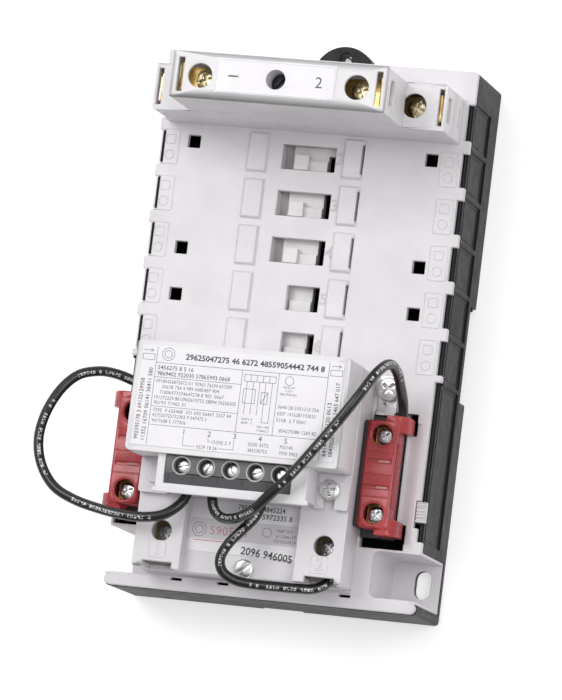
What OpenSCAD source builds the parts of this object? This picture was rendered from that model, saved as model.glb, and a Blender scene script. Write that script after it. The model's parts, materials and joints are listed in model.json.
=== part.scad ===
// Mechanically held panel contactor: base with six stations, one two-pole module,
// coil with its control module, two auxiliary switches and three jumper wires.
// Origin: centre of the base's back face. +X right, +Y up the panel, +Z to the front.

/* [Base] */
// Width of the base
base_w = 119; // [115:1:130]
// Height of the base, without its ear
base_h = 202; // [200:1:225]
// Depth of the base
base_d = 37; // [36:0.5:39]
// Thickness of the base's side walls
wall = 2.5; // [2:0.25:3]
// Thickness of the base's floor
floor_t = 6; // [5.5:0.25:7]
// Radius of the base's upright corners
base_corner_r = 1.5; // [0.5:0.25:2]
// Height of the plain band round the base's back
flush_band = 12; // [10:0.5:14]
// Depth of the side panels
panel_depth = 0.8; // [0.4:0.1:1.2]
// Width of the ribs between the side panels
panel_rib = 1.6; // [1:0.2:2.4]

/* [Keyhole ear] */
// Radius of the hanging ear
ear_r = 12.1; // [11:0.1:13]
// Thickness of the ear
ear_t = 8; // [7:0.5:9]
// Radius of the keyhole's narrow slot
keyhole_slot_r = 2.2; // [1.8:0.1:2.8]
// Radius of the keyhole's wide end
keyhole_head_r = 4.6; // [4:0.1:5]
// Rise of the slot's end above the base's top edge
keyhole_rise = 6.8; // [6:0.2:7.4]
// Length from the slot's end to the wide end
keyhole_len = 13; // [12:0.5:15]

/* [Rail fitting] */
// Width of the mounting rail
rail_w = 35; // [34.8:0.1:35.2]
// Clearance of the rail in its channel
rail_clear = 0.5; // [0.3:0.1:0.7]
// Depth of the rail channel
channel_d = 8; // [7.6:0.2:8.6]
// Thickness of the roof over the channel
channel_roof = 3; // [2.5:0.25:3.5]
// Height of the lip behind the rail's flange
lip_z = 4.3; // [4:0.1:4.6]
// Thickness of the lip and of the clip's nose
lip_t = 2; // [1.8:0.1:2.2]
// Reach of the lip and the nose under the rail
lip_reach = 1; // [0.8:0.1:1.2]
// Width of the clip's wide part
clip_w = 20; // [18:0.5:22]
// Width of the clip's narrow part, at the back face
clip_neck_w = 15; // [13:0.5:16]
// Travel of the clip when it's pulled
clip_travel = 3; // [2:0.25:3.5]
// Length of the clip's slot for its spring
clip_slot_l = 22; // [20:0.5:24]

/* [Foot slots] */
// Width of a foot's slotted hole
foot_slot_w = 6.2; // [5.6:0.1:6.8]
// Length of a foot's slotted hole
foot_slot_l = 10.7; // [10:0.1:12]
// Distance from the base's side to the slot
foot_slot_in = 6.75; // [6.5:0.05:7.5]
// Height of the slot above the base's bottom edge
foot_slot_up = 14.2; // [13.8:0.1:14.6]
// Width of the corner pocket over the slot
pocket_w = 18; // [17:0.5:20]
// Height of the pocket's lower side
pocket_low = 5; // [4.6:0.1:5.2]
// Height of the pocket's upper side
pocket_high = 22; // [21.5:0.25:23]
// Thickness of the base under the pocket
pocket_floor = 3; // [2.5:0.25:3.5]
// Thickness of the cover's pocket walls
pocket_wall = 1.2; // [1:0.1:1.4]
// Radius of the pocket's inner corners
pocket_r = 2.5; // [2:0.25:3.5]

/* [Front cover] */
// Thickness of the front cover
cover_t = 3; // [2.6:0.1:3.2]
// Distance from the base's side to the edge of a tab
tab_in = 0.2; // [0.1:0.05:0.4]
// Length of an edge tab
tab_l = 4.7; // [4:0.1:6]
// Height of the cover's wide top band
top_band = 12.5; // [11.5:0.5:13.5]
// Height of the cover's bottom flange
bottom_flange = 4.3; // [4:0.1:4.5]

/* [Stations] */
// Number of stations
station_count = 6; // [6:1:6]
// Pitch of the stations
station_pitch = 17.5; // [17.2:0.1:17.6]
// Distance from the base's top edge to the first station
station_drop = 19.7; // [19:0.1:20.5]
// Length of a raised block
block_l = 15.1; // [13:0.1:16]
// Height of a raised block
block_t = 1.6; // [1:0.1:2.2]
// Width of a raised block at its foot
block_w = 8.1; // [7.5:0.1:8.7]
// Place of the left blocks' left side
block_left_x = -24.5; // [-25:0.1:-24]
// Place of the right blocks' left side
block_right_x = 12.2; // [12:0.1:12.6]
// Height of a station's window
window_h = 9.3; // [9:0.1:9.6]
// Left side of the wide windows
window_left_x = -11.4; // [-12:0.1:-11]
// Left side of the narrow windows
window_narrow_x = -3.1; // [-3.4:0.1:-2.9]
// Right side of the windows
window_right_x = 9.3; // [9.2:0.1:9.8]
// Side of a square module hole
square_hole = 4.8; // [4:0.1:5.4]
// Distance from the middle to the square holes
square_hole_x = 45.6; // [44.5:0.1:46.5]

/* [Coil cover] */
// Left side of the coil cover
coil_left = -44.1; // [-44.4:0.1:-43.8]
// Right side of the coil cover
coil_right = 35; // [34.8:0.1:35.2]
// Lower side of the coil cover, from the base's bottom edge
coil_low = 6.4; // [6.2:0.1:6.6]
// Upper side of the coil cover, from the base's bottom edge
coil_high = 86.5; // [86:0.1:87]
// Height of the coil cover above the front cover
coil_rise = 18; // [17:0.25:18.5]
// Wall of the coil cover
coil_wall = 2; // [1.6:0.1:2.2]
// Width of each coil terminal's block
coil_block_w = 18; // [17:0.25:19]
// Depth of the recess between the terminals
coil_recess = 6; // [5:0.25:6.5]
// Upper end of the recess, from the base's bottom edge
coil_recess_high = 34; // [33.5:0.1:34.4]
// Left terminal's screw
coil_screw_left = -34.3; // [-34.8:0.1:-33.8]
// Right terminal's screw
coil_screw_right = 27.3; // [26.8:0.1:27.8]
// Height of the terminal screws, from the base's bottom edge
coil_screw_up = 20.2; // [19.6:0.1:20.8]
// Radius of the terminal screws' holes
coil_hole_r = 3.8; // [3.6:0.1:4.2]
// Cover screw from the middle
cover_screw_x = -2.9; // [-3.4:0.1:-2.4]
// Cover screw from the base's bottom edge
cover_screw_up = 9.4; // [9.2:0.1:9.8]

/* [Pole module] */
// Width of the pole module along the station
pole_h = 17.2; // [16.8:0.1:17.3]
// Half the length of the lower tier
pole_half = 55.4; // [54.5:0.1:56]
// Left end of the upper tier
pole_left = -40.8; // [-41.2:0.1:-40.4]
// Right end of the upper tier
pole_right = 40.1; // [39.8:0.1:40.6]
// Height of the pole base above the cover
pole_base_rise = 14; // [13:0.25:14.5]
// Height of the lower tier above the cover
pole_low_rise = 27; // [26.5:0.25:28]
// Height of the upper tier above the cover
pole_top_rise = 56; // [55.5:0.25:57]
// Wall of the pole module
pole_wall = 1.6; // [1.4:0.1:1.8]
// Radius of the pole screws' wells
pole_well_r = 4.5; // [4.2:0.1:4.7]
// Lower terminal screw from the middle
pole_low_screw = 43.4; // [43:0.1:44]
// Upper terminal screw from the middle
pole_top_screw = 29.4; // [29:0.1:30]
// Radius of the fixing screw's well
pole_fix_well_r = 3.65; // [3.5:0.05:3.9]
// Place of the fixing screw from the middle
pole_fix_x = -1.6; // [-1.8:0.1:-1.4]

/* [Control module] */
// Left side of the control module
module_left = -45.8; // [-46.3:0.1:-45.3]
// Right side of the control module
module_right = 34.6; // [34.2:0.1:35]
// Lower side of the module's wide part, from the base's bottom edge
module_low = 46.5; // [46.5:0.1:47]
// Upper side of the module, from the base's bottom edge
module_high = 87; // [86.5:0.1:87.5]
// Thickness of the module's base plate
module_plate_t = 2; // [1.6:0.1:2.2]
// Height of the module above the coil cover
module_rise = 21; // [20.5:0.25:22]
// Wall of the module's housing
module_wall = 1.6; // [1.3:0.1:1.8]
// Left side of the module's neck
neck_left = -33.8; // [-34.3:0.1:-33.4]
// Right side of the module's neck
neck_right = 23.1; // [22.7:0.1:23.5]
// Lower side of the neck, from the base's bottom edge
neck_low = 34.3; // [34.1:0.1:34.6]
// Height of the neck above the coil cover
neck_rise = 18; // [17.5:0.25:18.5]
// Reach of the lip under the terminals
neck_lip = 1.8; // [1.2:0.1:2.2]
// Number of screws in the terminal block
terminal_count = 5; // [5:1:5]
// Pitch of the terminal screws
terminal_pitch = 9.3; // [9.1:0.1:9.4]
// First terminal screw from the middle
terminal_x = -24.6; // [-24.8:0.1:-24.4]
// Terminal screws from the base's bottom edge
terminal_up = 42.7; // [42.4:0.1:43]
// Radius of the terminal block's screw holes
terminal_hole_r = 2.8; // [2.6:0.05:3]
// Drop of the terminal block's sloping front
terminal_slope = 2; // [1:0.1:3]
// Module screw from the middle
module_screw_x = 28; // [27.6:0.1:28.4]
// Module screw from the base's bottom edge
module_screw_up = 40.4; // [40:0.1:40.8]
// Thickness of the module's fixing ears
ear_plate_t = 3; // [2.6:0.1:3.4]

/* [Auxiliary switches] */
// Right switch from the middle
aux_right_x = 42.6; // [42.6:0.1:43]
// Left switch from the middle
aux_left_x = -52.2; // [-52.4:0.1:-52]
// Middle of the switches, from the base's bottom edge
aux_up = 48.9; // [48.5:0.1:49.3]
// Width of a switch's front
aux_w = 11.6; // [11.2:0.1:11.8]
// Length of a switch's front
aux_l = 39.3; // [38.5:0.1:40]
// Height of a switch above the cover
aux_rise = 12; // [11.5:0.25:13]
// Wall of a switch
aux_wall = 1.2; // [1:0.1:1.3]
// Distance from a switch's middle to its screws
aux_screw_y = 14.5; // [14:0.1:14.8]
// Radius of a switch's screw wells
aux_well_r = 3.8; // [3.5:0.1:4]
// Distance from a switch's middle to its slots
aux_slot_y = 4.8; // [4.6:0.1:5]
// Length of a switch's slots
aux_slot_l = 9.6; // [8:0.1:10]
// Width of a switch's slots
aux_slot_w = 1.7; // [1.2:0.1:2]
// Radius of a switch's wire holes
aux_port_r = 2.2; // [2.1:0.1:2.5]

/* [Mechanism] */
// Stroke of the drive carrier
stroke = 3.5; // [3:0.1:3.6]
// Thickness of the drive carrier
carrier_t = 3.9; // [3.5:0.1:4]
// Clearance between sliding pieces
slide_gap = 0.1; // [0.08:0.01:0.15]
// Clearance between fitted pieces
fit_gap = 0.1; // [0.05:0.01:0.15]
// Thickness of the magnet's stack
core_t = 14; // [12:0.5:15]
// Width of the magnet's middle leg
core_leg = 12; // [11:0.5:13]
// Width of the magnet's outer legs
core_side_leg = 8; // [7:0.5:8]
// Length of the magnet along the stroke
core_l = 30.5; // [29:0.5:31]
// Thickness of the magnet's yoke and armature
core_yoke = 7.5; // [7:0.5:8]
// Travel of the release slide
release_travel = 2; // [1.5:0.25:2.2]
// Radius of the latch pin
latch_pin_r = 1.5; // [1.2:0.1:1.8]

/* [Wires] */
// Diameter of the jumper wires
wire_d = 3.8; // [3.2:0.1:4]

/* [Hidden] */
$fn = 48;

// Levels from the base's back face
cover_z = base_d;
face_z = cover_z + cover_t;
pedestal_z = face_z + coil_rise;
recess_z = pedestal_z - coil_recess;
module_z = pedestal_z + module_plate_t;
module_top = pedestal_z + module_rise;
neck_top = pedestal_z + neck_rise;
pole_split_z = face_z + pole_base_rise;
pole_low_z = face_z + pole_low_rise;
pole_top_z = face_z + pole_top_rise;
aux_top = face_z + aux_rise;

// Heights up the panel
bottom_y = -base_h / 2;
top_y = base_h / 2;
half_w = base_w / 2;
inner_x = half_w - wall;
tab_x = half_w - tab_in;
pole_y = station_y(1) + 0.6;
aux_y = up(aux_up);

function up(height) = bottom_y + height;
function station_y(k) = top_y - station_drop - (k - 1) * station_pitch;
function rail_y(k) = station_y(k) - station_pitch / 2;

// Rail channel and clip
channel_half = rail_w / 2 + rail_clear;
hump_half = channel_half + wall;
hump_z = channel_d + channel_roof;
clip_step_z = 1.4;
clip_z = 3.6;
clip_post_l = 4;
clip_post_y = -52;
clip_spring_r = 2.2;

// Coil, magnet and armature
core_up = 55;
core_y = up(core_up);
core_x = 2;
core_z = cover_z - 13;
core_window = 12;
core_half = core_leg / 2 + core_window + core_side_leg;
pole_gap = 0.2;
armature_x = core_x - pole_gap - stroke;
bobbin_wall = 1.2;
bobbin_flange_y = 30;
bobbin_flange_z = 31;
bobbin_x = core_x + 0.6;
bobbin_l = core_l - core_yoke - 0.8;
opening_x = [armature_x - core_yoke - 6.6, core_x + core_l + 0.5];
opening_y = [core_y - core_half - 2, core_y + core_half + 1.4];

// Drive carrier
carrier_z = cover_z - 6;
carrier_top = carrier_z + carrier_t;
carrier_x = [-8, 5.6];
hook_x = [-6.6, -1.2];
crossbar_gap = 6;
crossbar_w = 5;
crossbar_low = core_y + core_half + crossbar_gap;
crossbar_y = [crossbar_low, crossbar_low + crossbar_w];
spring_gap = 9;
carrier_posts = [[16, 20], [-32, -28]];
hook_h = 5.6;
finger_x = [45, 48];
finger_left_x = [-46.5, -43.5];
spring_y = crossbar_y[1] + spring_gap;
return_spring_r = 2.3;
spring_peg_r = 1.5;
spring_post_x = 24;

// Latch
pawl_x = 45.5;
pawl_y = spring_y;
pawl_tail = 9.3;
pawl_hook_x = [37, 39.5];
release_x = [52.6, 56.6];
release_z = carrier_z + 1;
release_guides = [30, 58, 86];
thumb_y = [up(34), up(41.5)];
thumb_x = [55.5, tab_x];

// Pole module's inner pieces
column_x = [3, 11];
column_half = 3.1;
bridge_t = 1.2;
bridge_gap = 0.1;
contact_x = column_x[1] + bridge_gap + bridge_t + stroke + 0.1;
low_strip_z = face_z + 4.4;
low_plate_z = face_z + 16;
top_strip_z = pole_low_z + 2;
top_plate_z = face_z + 43;
strip_t = 1.4;
contact_spring_r = 1.9;

// Auxiliary switches' inner pieces
plunger_w = 4;
plunger_x = -(aux_w / 2 - aux_wall) + 0.5;
stem_z = carrier_z + 0.4;
stem_w = 2.4;
rear_z = cover_z + 0.15;
aux_plate_z = face_z + 4;
aux_strip_t = 0.8;
aux_port_z = aux_plate_z + aux_strip_t + wire_d / 2 + 0.2;
aux_port_top = 5.6;
aux_port_low = -2.6;
bracket_screw_x = [-50.6, 40.7];
bracket_screw_up = 81.3;
bracket_x = [-54.4, 36.9];
boss_r = 3.6;
screw_r = 1.5;

// Labels, and the control module's inner pieces
label_t = 0.3;
pole_label_x = [-24.3, 20.9];
pole_label_y = [-5.7, 7.1];
ear_boss_x = -38.5;
board_up = 4;
board_t = 1.6;
board_in = 3;
board_part_h = 8;

// Terminal block
terminal_low = neck_low + module_wall + fit_gap;
terminal_high = 46.3;
terminal_left = -30.7;
terminal_right = 17;
entry_z = module_z + 3.1;
clamp_w = 7.2;
clamp_t = 6.8;
clamp_l = 8;

// Routes of the three jumper wires
route_left_loop = [
  [-49.6, -34, 46.9], [-49.8, -30.3, 47], [-51.8, -27, 47.2], [-56.3, -25.3, 47.4],
  [-62, -23.8, 48.5], [-68, -23.6, 50], [-75, -26, 52.5], [-80.5, -32.5, 55],
  [-84, -42, 58], [-84.5, -52, 61], [-81.5, -61.5, 63], [-75, -69.3, 65],
  [-66, -73.6, 66], [-56, -76, 66.5], [-48, -77.2, 67], [-40, -77.5, 67],
  [-32.5, -76, 66], [-27.5, -72.2, 64.6], [-25, -68, 63.4], [-24.6, -63.5, 63.1]
];
route_to_aux = [
  [-15.3, -63.5, 63.1], [-15, -68, 63.6], [-13, -72.6, 65.5], [-8.5, -75.2, 68.5],
  [-3, -75, 72], [3.5, -72.4, 76], [10.5, -66.5, 80], [18, -59, 82.4], [26.5, -48.2, 84],
  [34.5, -37, 84.5], [40.5, -27, 83], [44.4, -18.5, 78.5], [46.8, -14, 71],
  [47.9, -15.5, 62.5], [48, -20, 54.8], [48.2, -25, 49], [48.2, -29.5, 47],
  [48.2, -33.2, 46.9]
];
route_to_coil = [
  [3.3, -63.5, 63.1], [3.6, -68, 63.6], [2.4, -73.4, 65.5], [-2, -79.3, 66.8],
  [-6.2, -84.5, 66.8], [-8.6, -89.8, 66], [-7.4, -94.3, 64.8], [-3, -96.8, 62.8],
  [3, -97.4, 60.6], [11, -97.2, 57.8], [18.4, -96.9, 55.2], [24.4, -96.2, 52.8],
  [28.6, -93.2, 50.6], [30.2, -88.4, 49.4]
];

module block(x, y, z) {
  translate([x[0], y[0], z[0]])
    cube([x[1] - x[0], y[1] - y[0], z[1] - z[0]]);
}

// Box with round upright corners
module round_block(x, y, z, r) {
  block([x[0] + r, x[1] - r], y, z);
  block(x, [y[0] + r, y[1] - r], z);
  for (cx = [x[0] + r, x[1] - r])
    for (cy = [y[0] + r, y[1] - r])
      translate([cx, cy, z[0]])
        cylinder(r = r, h = z[1] - z[0]);
}

// Box whose top is smaller than its foot by draft on every side
module drafted_block(x, y, z, draft) {
  h = z[1] - z[0];
  intersection() {
    translate([0, y[1], z[0]])
      rotate([90, 0, 0])
        linear_extrude(y[1] - y[0])
          polygon([[x[0], 0], [x[1], 0], [x[1] - draft, h], [x[0] + draft, h]]);
    translate([x[0], 0, z[0]])
      rotate([90, 0, 90])
        linear_extrude(x[1] - x[0])
          polygon([[y[0], 0], [y[1], 0], [y[1] - draft, h], [y[0] + draft, h]]);
  }
}

// Slotted hole that runs along Y
module slot_y(r, len, z) {
  for (side = [-1, 1])
    translate([0, side * (len / 2 - r), z[0]])
      cylinder(r = r, h = z[1] - z[0]);
  block([-r, r], [r - len / 2, len / 2 - r], z);
}

module rod(r, z) {
  translate([0, 0, z[0]])
    cylinder(r = r, h = z[1] - z[0]);
}

module rod_x(r, x) {
  translate([x[0], 0, 0])
    rotate([0, 90, 0])
      cylinder(r = r, h = x[1] - x[0]);
}

// Screw with a cross recess; its head's underside is at z = 0
module cross_screw(head_r, head_t, shank_r, shank_l) {
  slot_w = head_r * 0.24;
  difference() {
    union() {
      rod(head_r, [0, head_t]);
      rod(shank_r, [-shank_l, 0]);
    }
    for (turn = [0, 90])
      rotate([0, 0, turn])
        block([-head_r * 0.72, head_r * 0.72], [-slot_w, slot_w], [head_t * 0.45, head_t + 1]);
  }
}

// Screw with a straight slot across its head
module slot_screw(head_r, head_t, shank_r, shank_l) {
  difference() {
    union() {
      rod(head_r, [0, head_t]);
      rod(shank_r, [-shank_l, 0]);
    }
    block([-head_r - 1, head_r + 1], [-head_r * 0.16, head_r * 0.16], [head_t * 0.5, head_t + 1]);
  }
}

function ring_dir(pts, i) =
  let (a = pts[max(i - 1, 0)], b = pts[min(i + 1, len(pts) - 1)])
  (b - a) / norm(b - a);

function side_of(dir) =
  let (s = cross(dir, abs(dir[2]) > 0.9 ? [1, 0, 0] : [0, 0, 1]))
  s / norm(s);

function tube_ring(pts, i, r, sides) =
  let (dir = ring_dir(pts, i), u = side_of(dir), v = cross(dir, u))
  [for (k = [0 : sides - 1])
    pts[i] + r * (cos(360 * k / sides) * u + sin(360 * k / sides) * v)];

// Tube swept along a list of points
module tube_along(pts, r, sides) {
  count = len(pts);
  points = [for (i = [0 : count - 1]) each tube_ring(pts, i, r, sides)];
  first = [for (k = [0 : sides - 1]) k];
  last = [for (k = [sides - 1 : -1 : 0]) (count - 1) * sides + k];
  skin = [
    for (i = [0 : count - 2])
      for (k = [0 : sides - 1])
        let (n = (k + 1) % sides)
        each [
          [i * sides + k, (i + 1) * sides + n, i * sides + n],
          [i * sides + k, (i + 1) * sides + k, (i + 1) * sides + n]
        ]
  ];
  polyhedron(points = points, faces = concat([first], skin, [last]), convexity = 6);
}

// Coil spring along +X from the origin, with its ends ground flat by a closed turn
module coil_spring(mean_r, spring_wire_r, spring_l, turns) {
  steps = 14;
  count = turns * steps;
  run = spring_l - 2 * spring_wire_r;
  pts = [
    for (i = [0 : count])
      [spring_wire_r + run * i / count,
       mean_r * cos(360 * i / steps),
       mean_r * sin(360 * i / steps)]
  ];
  tube_along(pts, spring_wire_r, 6);
}

module base_housing() {
  color("#2e2f33")
    difference() {
      union() {
        difference() {
          union() {
            round_block([-half_w, half_w], [bottom_y, top_y], [0, base_d], base_corner_r);
            base_ear();
          }
          base_hollow();
          side_panels();
        }
        clip_roof();
      }
      rail_channel();
      clip_groove();
      foot_openings();
      keyhole();
    }
}

module base_ear() {
  intersection() {
    translate([0, top_y - 0.6, 0])
      cylinder(r = ear_r, h = ear_t, $fn = 72);
    block([-ear_r, ear_r], [top_y - 1, top_y + ear_r], [0, ear_t]);
  }
}

module base_hollow() {
  block([-inner_x, inner_x], [bottom_y + wall, -hump_half], [floor_t, base_d + 1]);
  block([-inner_x, inner_x], [-hump_half - 1, hump_half + 1], [hump_z, base_d + 1]);
  block([-inner_x, inner_x], [hump_half, top_y - wall], [floor_t, base_d + 1]);
}

// One shallow panel beside each station, and a long one below them
module side_panels() {
  for (side = [-1, 1])
    scale([side, 1, 1]) {
      for (k = [1 : station_count])
        side_panel(rail_y(k), rail_y(k) + station_pitch);
      side_panel(up(pocket_high) + 4, rail_y(station_count));
    }
}

module side_panel(low, high) {
  block([half_w - panel_depth, half_w + 1],
        [low + panel_rib / 2, high - panel_rib / 2],
        [flush_band, base_d + 1]);
}

// Thicker floor over the rail clip's groove
module clip_roof() {
  block([-clip_w / 2 - wall, clip_w / 2 + wall], [-channel_half - clip_travel - 6, -channel_half],
        [floor_t - 1, lip_z + lip_t + wall]);
}

// Posts and rails that carry the mechanism, welded to the base's floor
module mechanism_rails() {
  color("#2e2f33")
    difference() {
      intersection() {
        base_hollow();
        mechanism_posts();
      }
      clip_roof();
      foot_openings();
      base_bores();
    }
}

module mechanism_posts() {
  rail_top = carrier_z - slide_gap;
  for (k = [2 : 4])
    block([-10, 12], [rail_y(k) - 1.5, rail_y(k) + 1.5], [floor_t - 1, rail_top]);
  for (x = carrier_posts)
    block(x, [crossbar_y[0] - 1, crossbar_y[1] + 1], [floor_t - 1, rail_top]);
  for (side_y = [core_y - core_half, core_y + core_half - core_side_leg])
    block([core_x + 6, core_x + core_l], [side_y, side_y + core_side_leg], [floor_t - 1, core_z]);
  for (side_y = [core_y - core_half + 2, core_y + core_half - 6])
    block([armature_x - core_yoke - 2, core_x + 2], [side_y, side_y + 4],
          [floor_t - 1, core_z - slide_gap]);
  block([spring_post_x, spring_post_x + 4], [spring_y - 5, spring_y + 5], [floor_t, cover_z - fit_gap]);
  translate([0, spring_y, carrier_z + carrier_t / 2])
    rod_x(spring_peg_r, [spring_post_x - 4, spring_post_x + 1]);
  translate([pawl_x, pawl_y, 0])
    rod(4, [floor_t, rail_top]);
  for (height = release_guides)
    block([release_x[0], inner_x + 1], [up(height), up(height) + 3], [floor_t - 1, release_z - slide_gap]);
  for (place = boss_places())
    translate([place[0], place[1], 0])
      rod(boss_r, [floor_t - 1, cover_z - fit_gap]);
}

function boss_places() = [
  [bracket_screw_x[0], up(bracket_screw_up)],
  [bracket_screw_x[1], up(bracket_screw_up)],
  [cover_screw_x, up(cover_screw_up)],
  [pole_fix_x, pole_y + 0.5]
];

module base_bores() {
  for (place = boss_places())
    translate([place[0], place[1], 0])
      rod(screw_r + 0.05, [floor_t + 4, cover_z + 1]);
  translate([pawl_x, pawl_y, 0])
    rod(latch_pin_r + 0.02, [carrier_z - 10, carrier_z + 1]);
}

module rail_channel() {
  lip_edge = rail_w / 2 - lip_reach;
  block([-half_w - 1, half_w + 1], [-channel_half, lip_edge], [-1, channel_d]);
  block([-half_w - 1, half_w + 1], [lip_edge - 1, channel_half], [lip_z + lip_t, channel_d]);
  block([-half_w - 1, half_w + 1], [lip_edge - 1, channel_half], [-1, lip_z]);
}

// Stepped groove that holds the rail clip, with a post for its spring
module clip_groove() {
  difference() {
    union() {
      block([-clip_neck_w / 2, clip_neck_w / 2], [bottom_y - 1, -channel_half + 1], [-1, clip_z]);
      block([-clip_w / 2, clip_w / 2], [bottom_y - 1, -channel_half + 1], [clip_step_z, clip_z]);
      block([-clip_neck_w / 2, clip_neck_w / 2], [-channel_half - clip_travel - 4, -channel_half + 1],
            [clip_z - 1, lip_z + lip_t]);
    }
    block([-clip_spring_r, clip_spring_r], [clip_post_y - clip_post_l, clip_post_y],
          [clip_step_z + fit_gap, floor_t]);
  }
}

module foot_openings() {
  for (side = [-1, 1])
    scale([side, 1, 1]) {
      block([half_w - pocket_w - pocket_wall - fit_gap, half_w + 1],
            [up(pocket_low) - pocket_wall - fit_gap, up(pocket_high) + pocket_wall + fit_gap],
            [pocket_floor, base_d + 1]);
      translate([half_w - foot_slot_in, up(foot_slot_up), 0])
        slot_y(foot_slot_w / 2, foot_slot_l, [-1, pocket_floor + 1]);
    }
}

module keyhole() {
  slot_top = top_y + keyhole_rise;
  translate([0, slot_top, 0])
    rod(keyhole_slot_r, [-1, ear_t + 1]);
  block([-keyhole_slot_r, keyhole_slot_r], [slot_top - keyhole_len, slot_top], [-1, ear_t + 1]);
  translate([0, slot_top - keyhole_len, 0])
    rod(keyhole_head_r, [-1, ear_t + 1]);
  block([-keyhole_head_r, keyhole_head_r], [slot_top - keyhole_len, top_y + 1],
        [pocket_floor, ear_t + 5]);
}

module front_cover() {
  color("#e4e0e4")
    difference() {
      union() {
        cover_plate();
        station_blocks();
        foot_pockets();
        cover_guides();
      }
      station_holes();
      cover_openings();
      finger_recess();
    }
}

module cover_plate() {
  z = [cover_z, face_z];
  difference() {
    union() {
      block([-inner_x + fit_gap, inner_x - fit_gap], [bottom_y + 1, top_y - 1], z);
      round_block([-tab_x, tab_x], [top_y - top_band, top_y - tab_in], z, 1);
      round_block([-tab_x, tab_x], [bottom_y + tab_in, up(bottom_flange)], z, 2);
      edge_tabs();
    }
    for (side = [-1, 1])
      scale([side, 1, 1])
        pocket_outline([cover_z - 1, face_z + 1]);
  }
}

// Tabs that rest on the base's side walls
module edge_tabs() {
  z = [cover_z, face_z];
  for (k = [1 : station_count - 1])
    block([-tab_x, tab_x], [rail_y(k) - tab_l / 2, rail_y(k) + tab_l / 2], z);
  block([-tab_x, tab_x], [up(85.9), up(88.4)], z);
  block([-tab_x, tab_x], [up(pocket_high), up(pocket_high) + tab_l], z);
}

module pocket_outline(z) {
  low = up(pocket_low);
  high = up(pocket_high);
  left = half_w - pocket_w;
  round_block([left, half_w + 8], [low, high], z, pocket_r);
}

// Corner pockets down to the mounting slots
module foot_pockets() {
  for (side = [-1, 1])
    scale([side, 1, 1])
      difference() {
        intersection() {
          round_block([half_w - pocket_w - pocket_wall, half_w + 8],
                      [up(pocket_low) - pocket_wall, up(pocket_high) + pocket_wall],
                      [pocket_floor + fit_gap, face_z - 1], pocket_r + pocket_wall);
          block([0, tab_x], [bottom_y, 0], [0, face_z]);
        }
        pocket_outline([pocket_floor + fit_gap + pocket_wall, face_z + 1]);
        translate([half_w - foot_slot_in, up(foot_slot_up), 0])
          slot_y(foot_slot_w / 2, foot_slot_l, [-1, pocket_floor + 5]);
      }
}

// Ribs that keep the drive carrier down on its rails
module cover_guides() {
  for (k = [2 : 4])
    block([-6, 4], [rail_y(k) - 1, rail_y(k) + 1], [carrier_top + slide_gap, cover_z + 1]);
}

// Two raised blocks beside each free station
module station_blocks() {
  for (k = [2 : station_count]) {
    low = station_y(k) + 0.8 - block_l / 2;
    for (left = [block_left_x, block_right_x])
      drafted_block([left, left + block_w], [low, low + block_l], [face_z - 0.01, face_z + block_t], 0.7);
  }
}

module station_holes() {
  z = [cover_z - 1, face_z + 3];
  for (k = [2 : station_count]) {
    left = k > 4 ? window_narrow_x : window_left_x;
    block([left, window_right_x], [station_y(k) - window_h / 2, station_y(k) + window_h / 2], z);
    block([block_right_x + block_w - 1, block_right_x + block_w - 0.1],
          [station_y(k) - 4.7, station_y(k) + 6.3], z);
  }
  block([column_x[0] - 1, column_x[1] + stroke + 1],
        [pole_y - column_half - 1, pole_y + column_half + 1], z);
  for (spot = [[2, 2.9], [4, -2.2], [5, -2.2]])
    for (side = [-1, 1])
      translate([side * square_hole_x, station_y(spot[0]) + spot[1], 0])
        block([-square_hole / 2, square_hole / 2], [-square_hole / 2, square_hole / 2], z);
}

module cover_openings() {
  z = [cover_z - 3, face_z + 1];
  block(opening_x, opening_y, z);
  aux_opening(aux_right_x, 1, z);
  aux_opening(aux_left_x, -1, z);
  block([thumb_x[0] - 0.3, tab_x + 1], [thumb_y[0] - release_travel - 0.3, thumb_y[1] + 0.3], z);
  for (place = boss_places())
    translate([place[0], place[1], 0])
      rod(screw_r + 0.2, z);
  for (left = [-33.9, -16, 30.4])
    block([left, left + 4.4], [up(bottom_flange) - 0.4, up(bottom_flange) + 0.6], z);
}

// Cut-out for one switch, wider at both ends on the outer side
module aux_opening(x, side, z) {
  translate([x, aux_y, 0])
    scale([side, 1, 1]) {
      block([-aux_w / 2 - 0.9, aux_w / 2 + 0.4], [-aux_l / 2 - 6.3, aux_l / 2 + 4.8], z);
      if (side > 0) {
        block([0, 9.7], [aux_l / 2 - 3.2, aux_l / 2 + 4.8], z);
        block([0, 9.7], [-aux_l / 2 - 6.3, 3.2 - aux_l / 2], z);
      }
    }
}

// Sloping finger recess beside the right switch
module finger_recess() {
  translate([0, up(70), face_z])
    rotate([90, 0, 0])
      linear_extrude(44.5)
        polygon([[49.6, 0.1], [55, 0.1], [49.6, -1.8]]);
}

module coil_cover() {
  low = up(coil_low);
  high = up(coil_high);
  color("#e6e4e6")
    difference() {
      union() {
        difference() {
          union() {
            round_block([coil_left, coil_right], [low, high], [face_z, pedestal_z], 1.2);
            block([coil_left, coil_right], [low - 1, low + 1], [face_z, face_z + 1.2]);
          }
          coil_cover_hollow();
        }
        coil_cover_posts();
      }
      block([coil_left + coil_block_w, coil_right - coil_block_w],
            [low - 2, up(coil_recess_high)], [recess_z, pedestal_z + 1]);
      for (x = [coil_screw_left, coil_screw_right]) {
        translate([x, up(coil_screw_up), 0])
          rod(coil_hole_r, [recess_z, pedestal_z + 1]);
        block([x - 6, x + 5.2], [low - 2, low + 2.4], [face_z + 6.6, pedestal_z + 1]);
      }
      translate([cover_screw_x, up(cover_screw_up), 0])
        rod(screw_r + 0.2, [face_z - 1, pedestal_z]);
      translate([module_screw_x, up(module_screw_up), 0])
        rod(screw_r + 0.05, [pedestal_z - 9, pedestal_z + 1]);
    }
}

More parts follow.
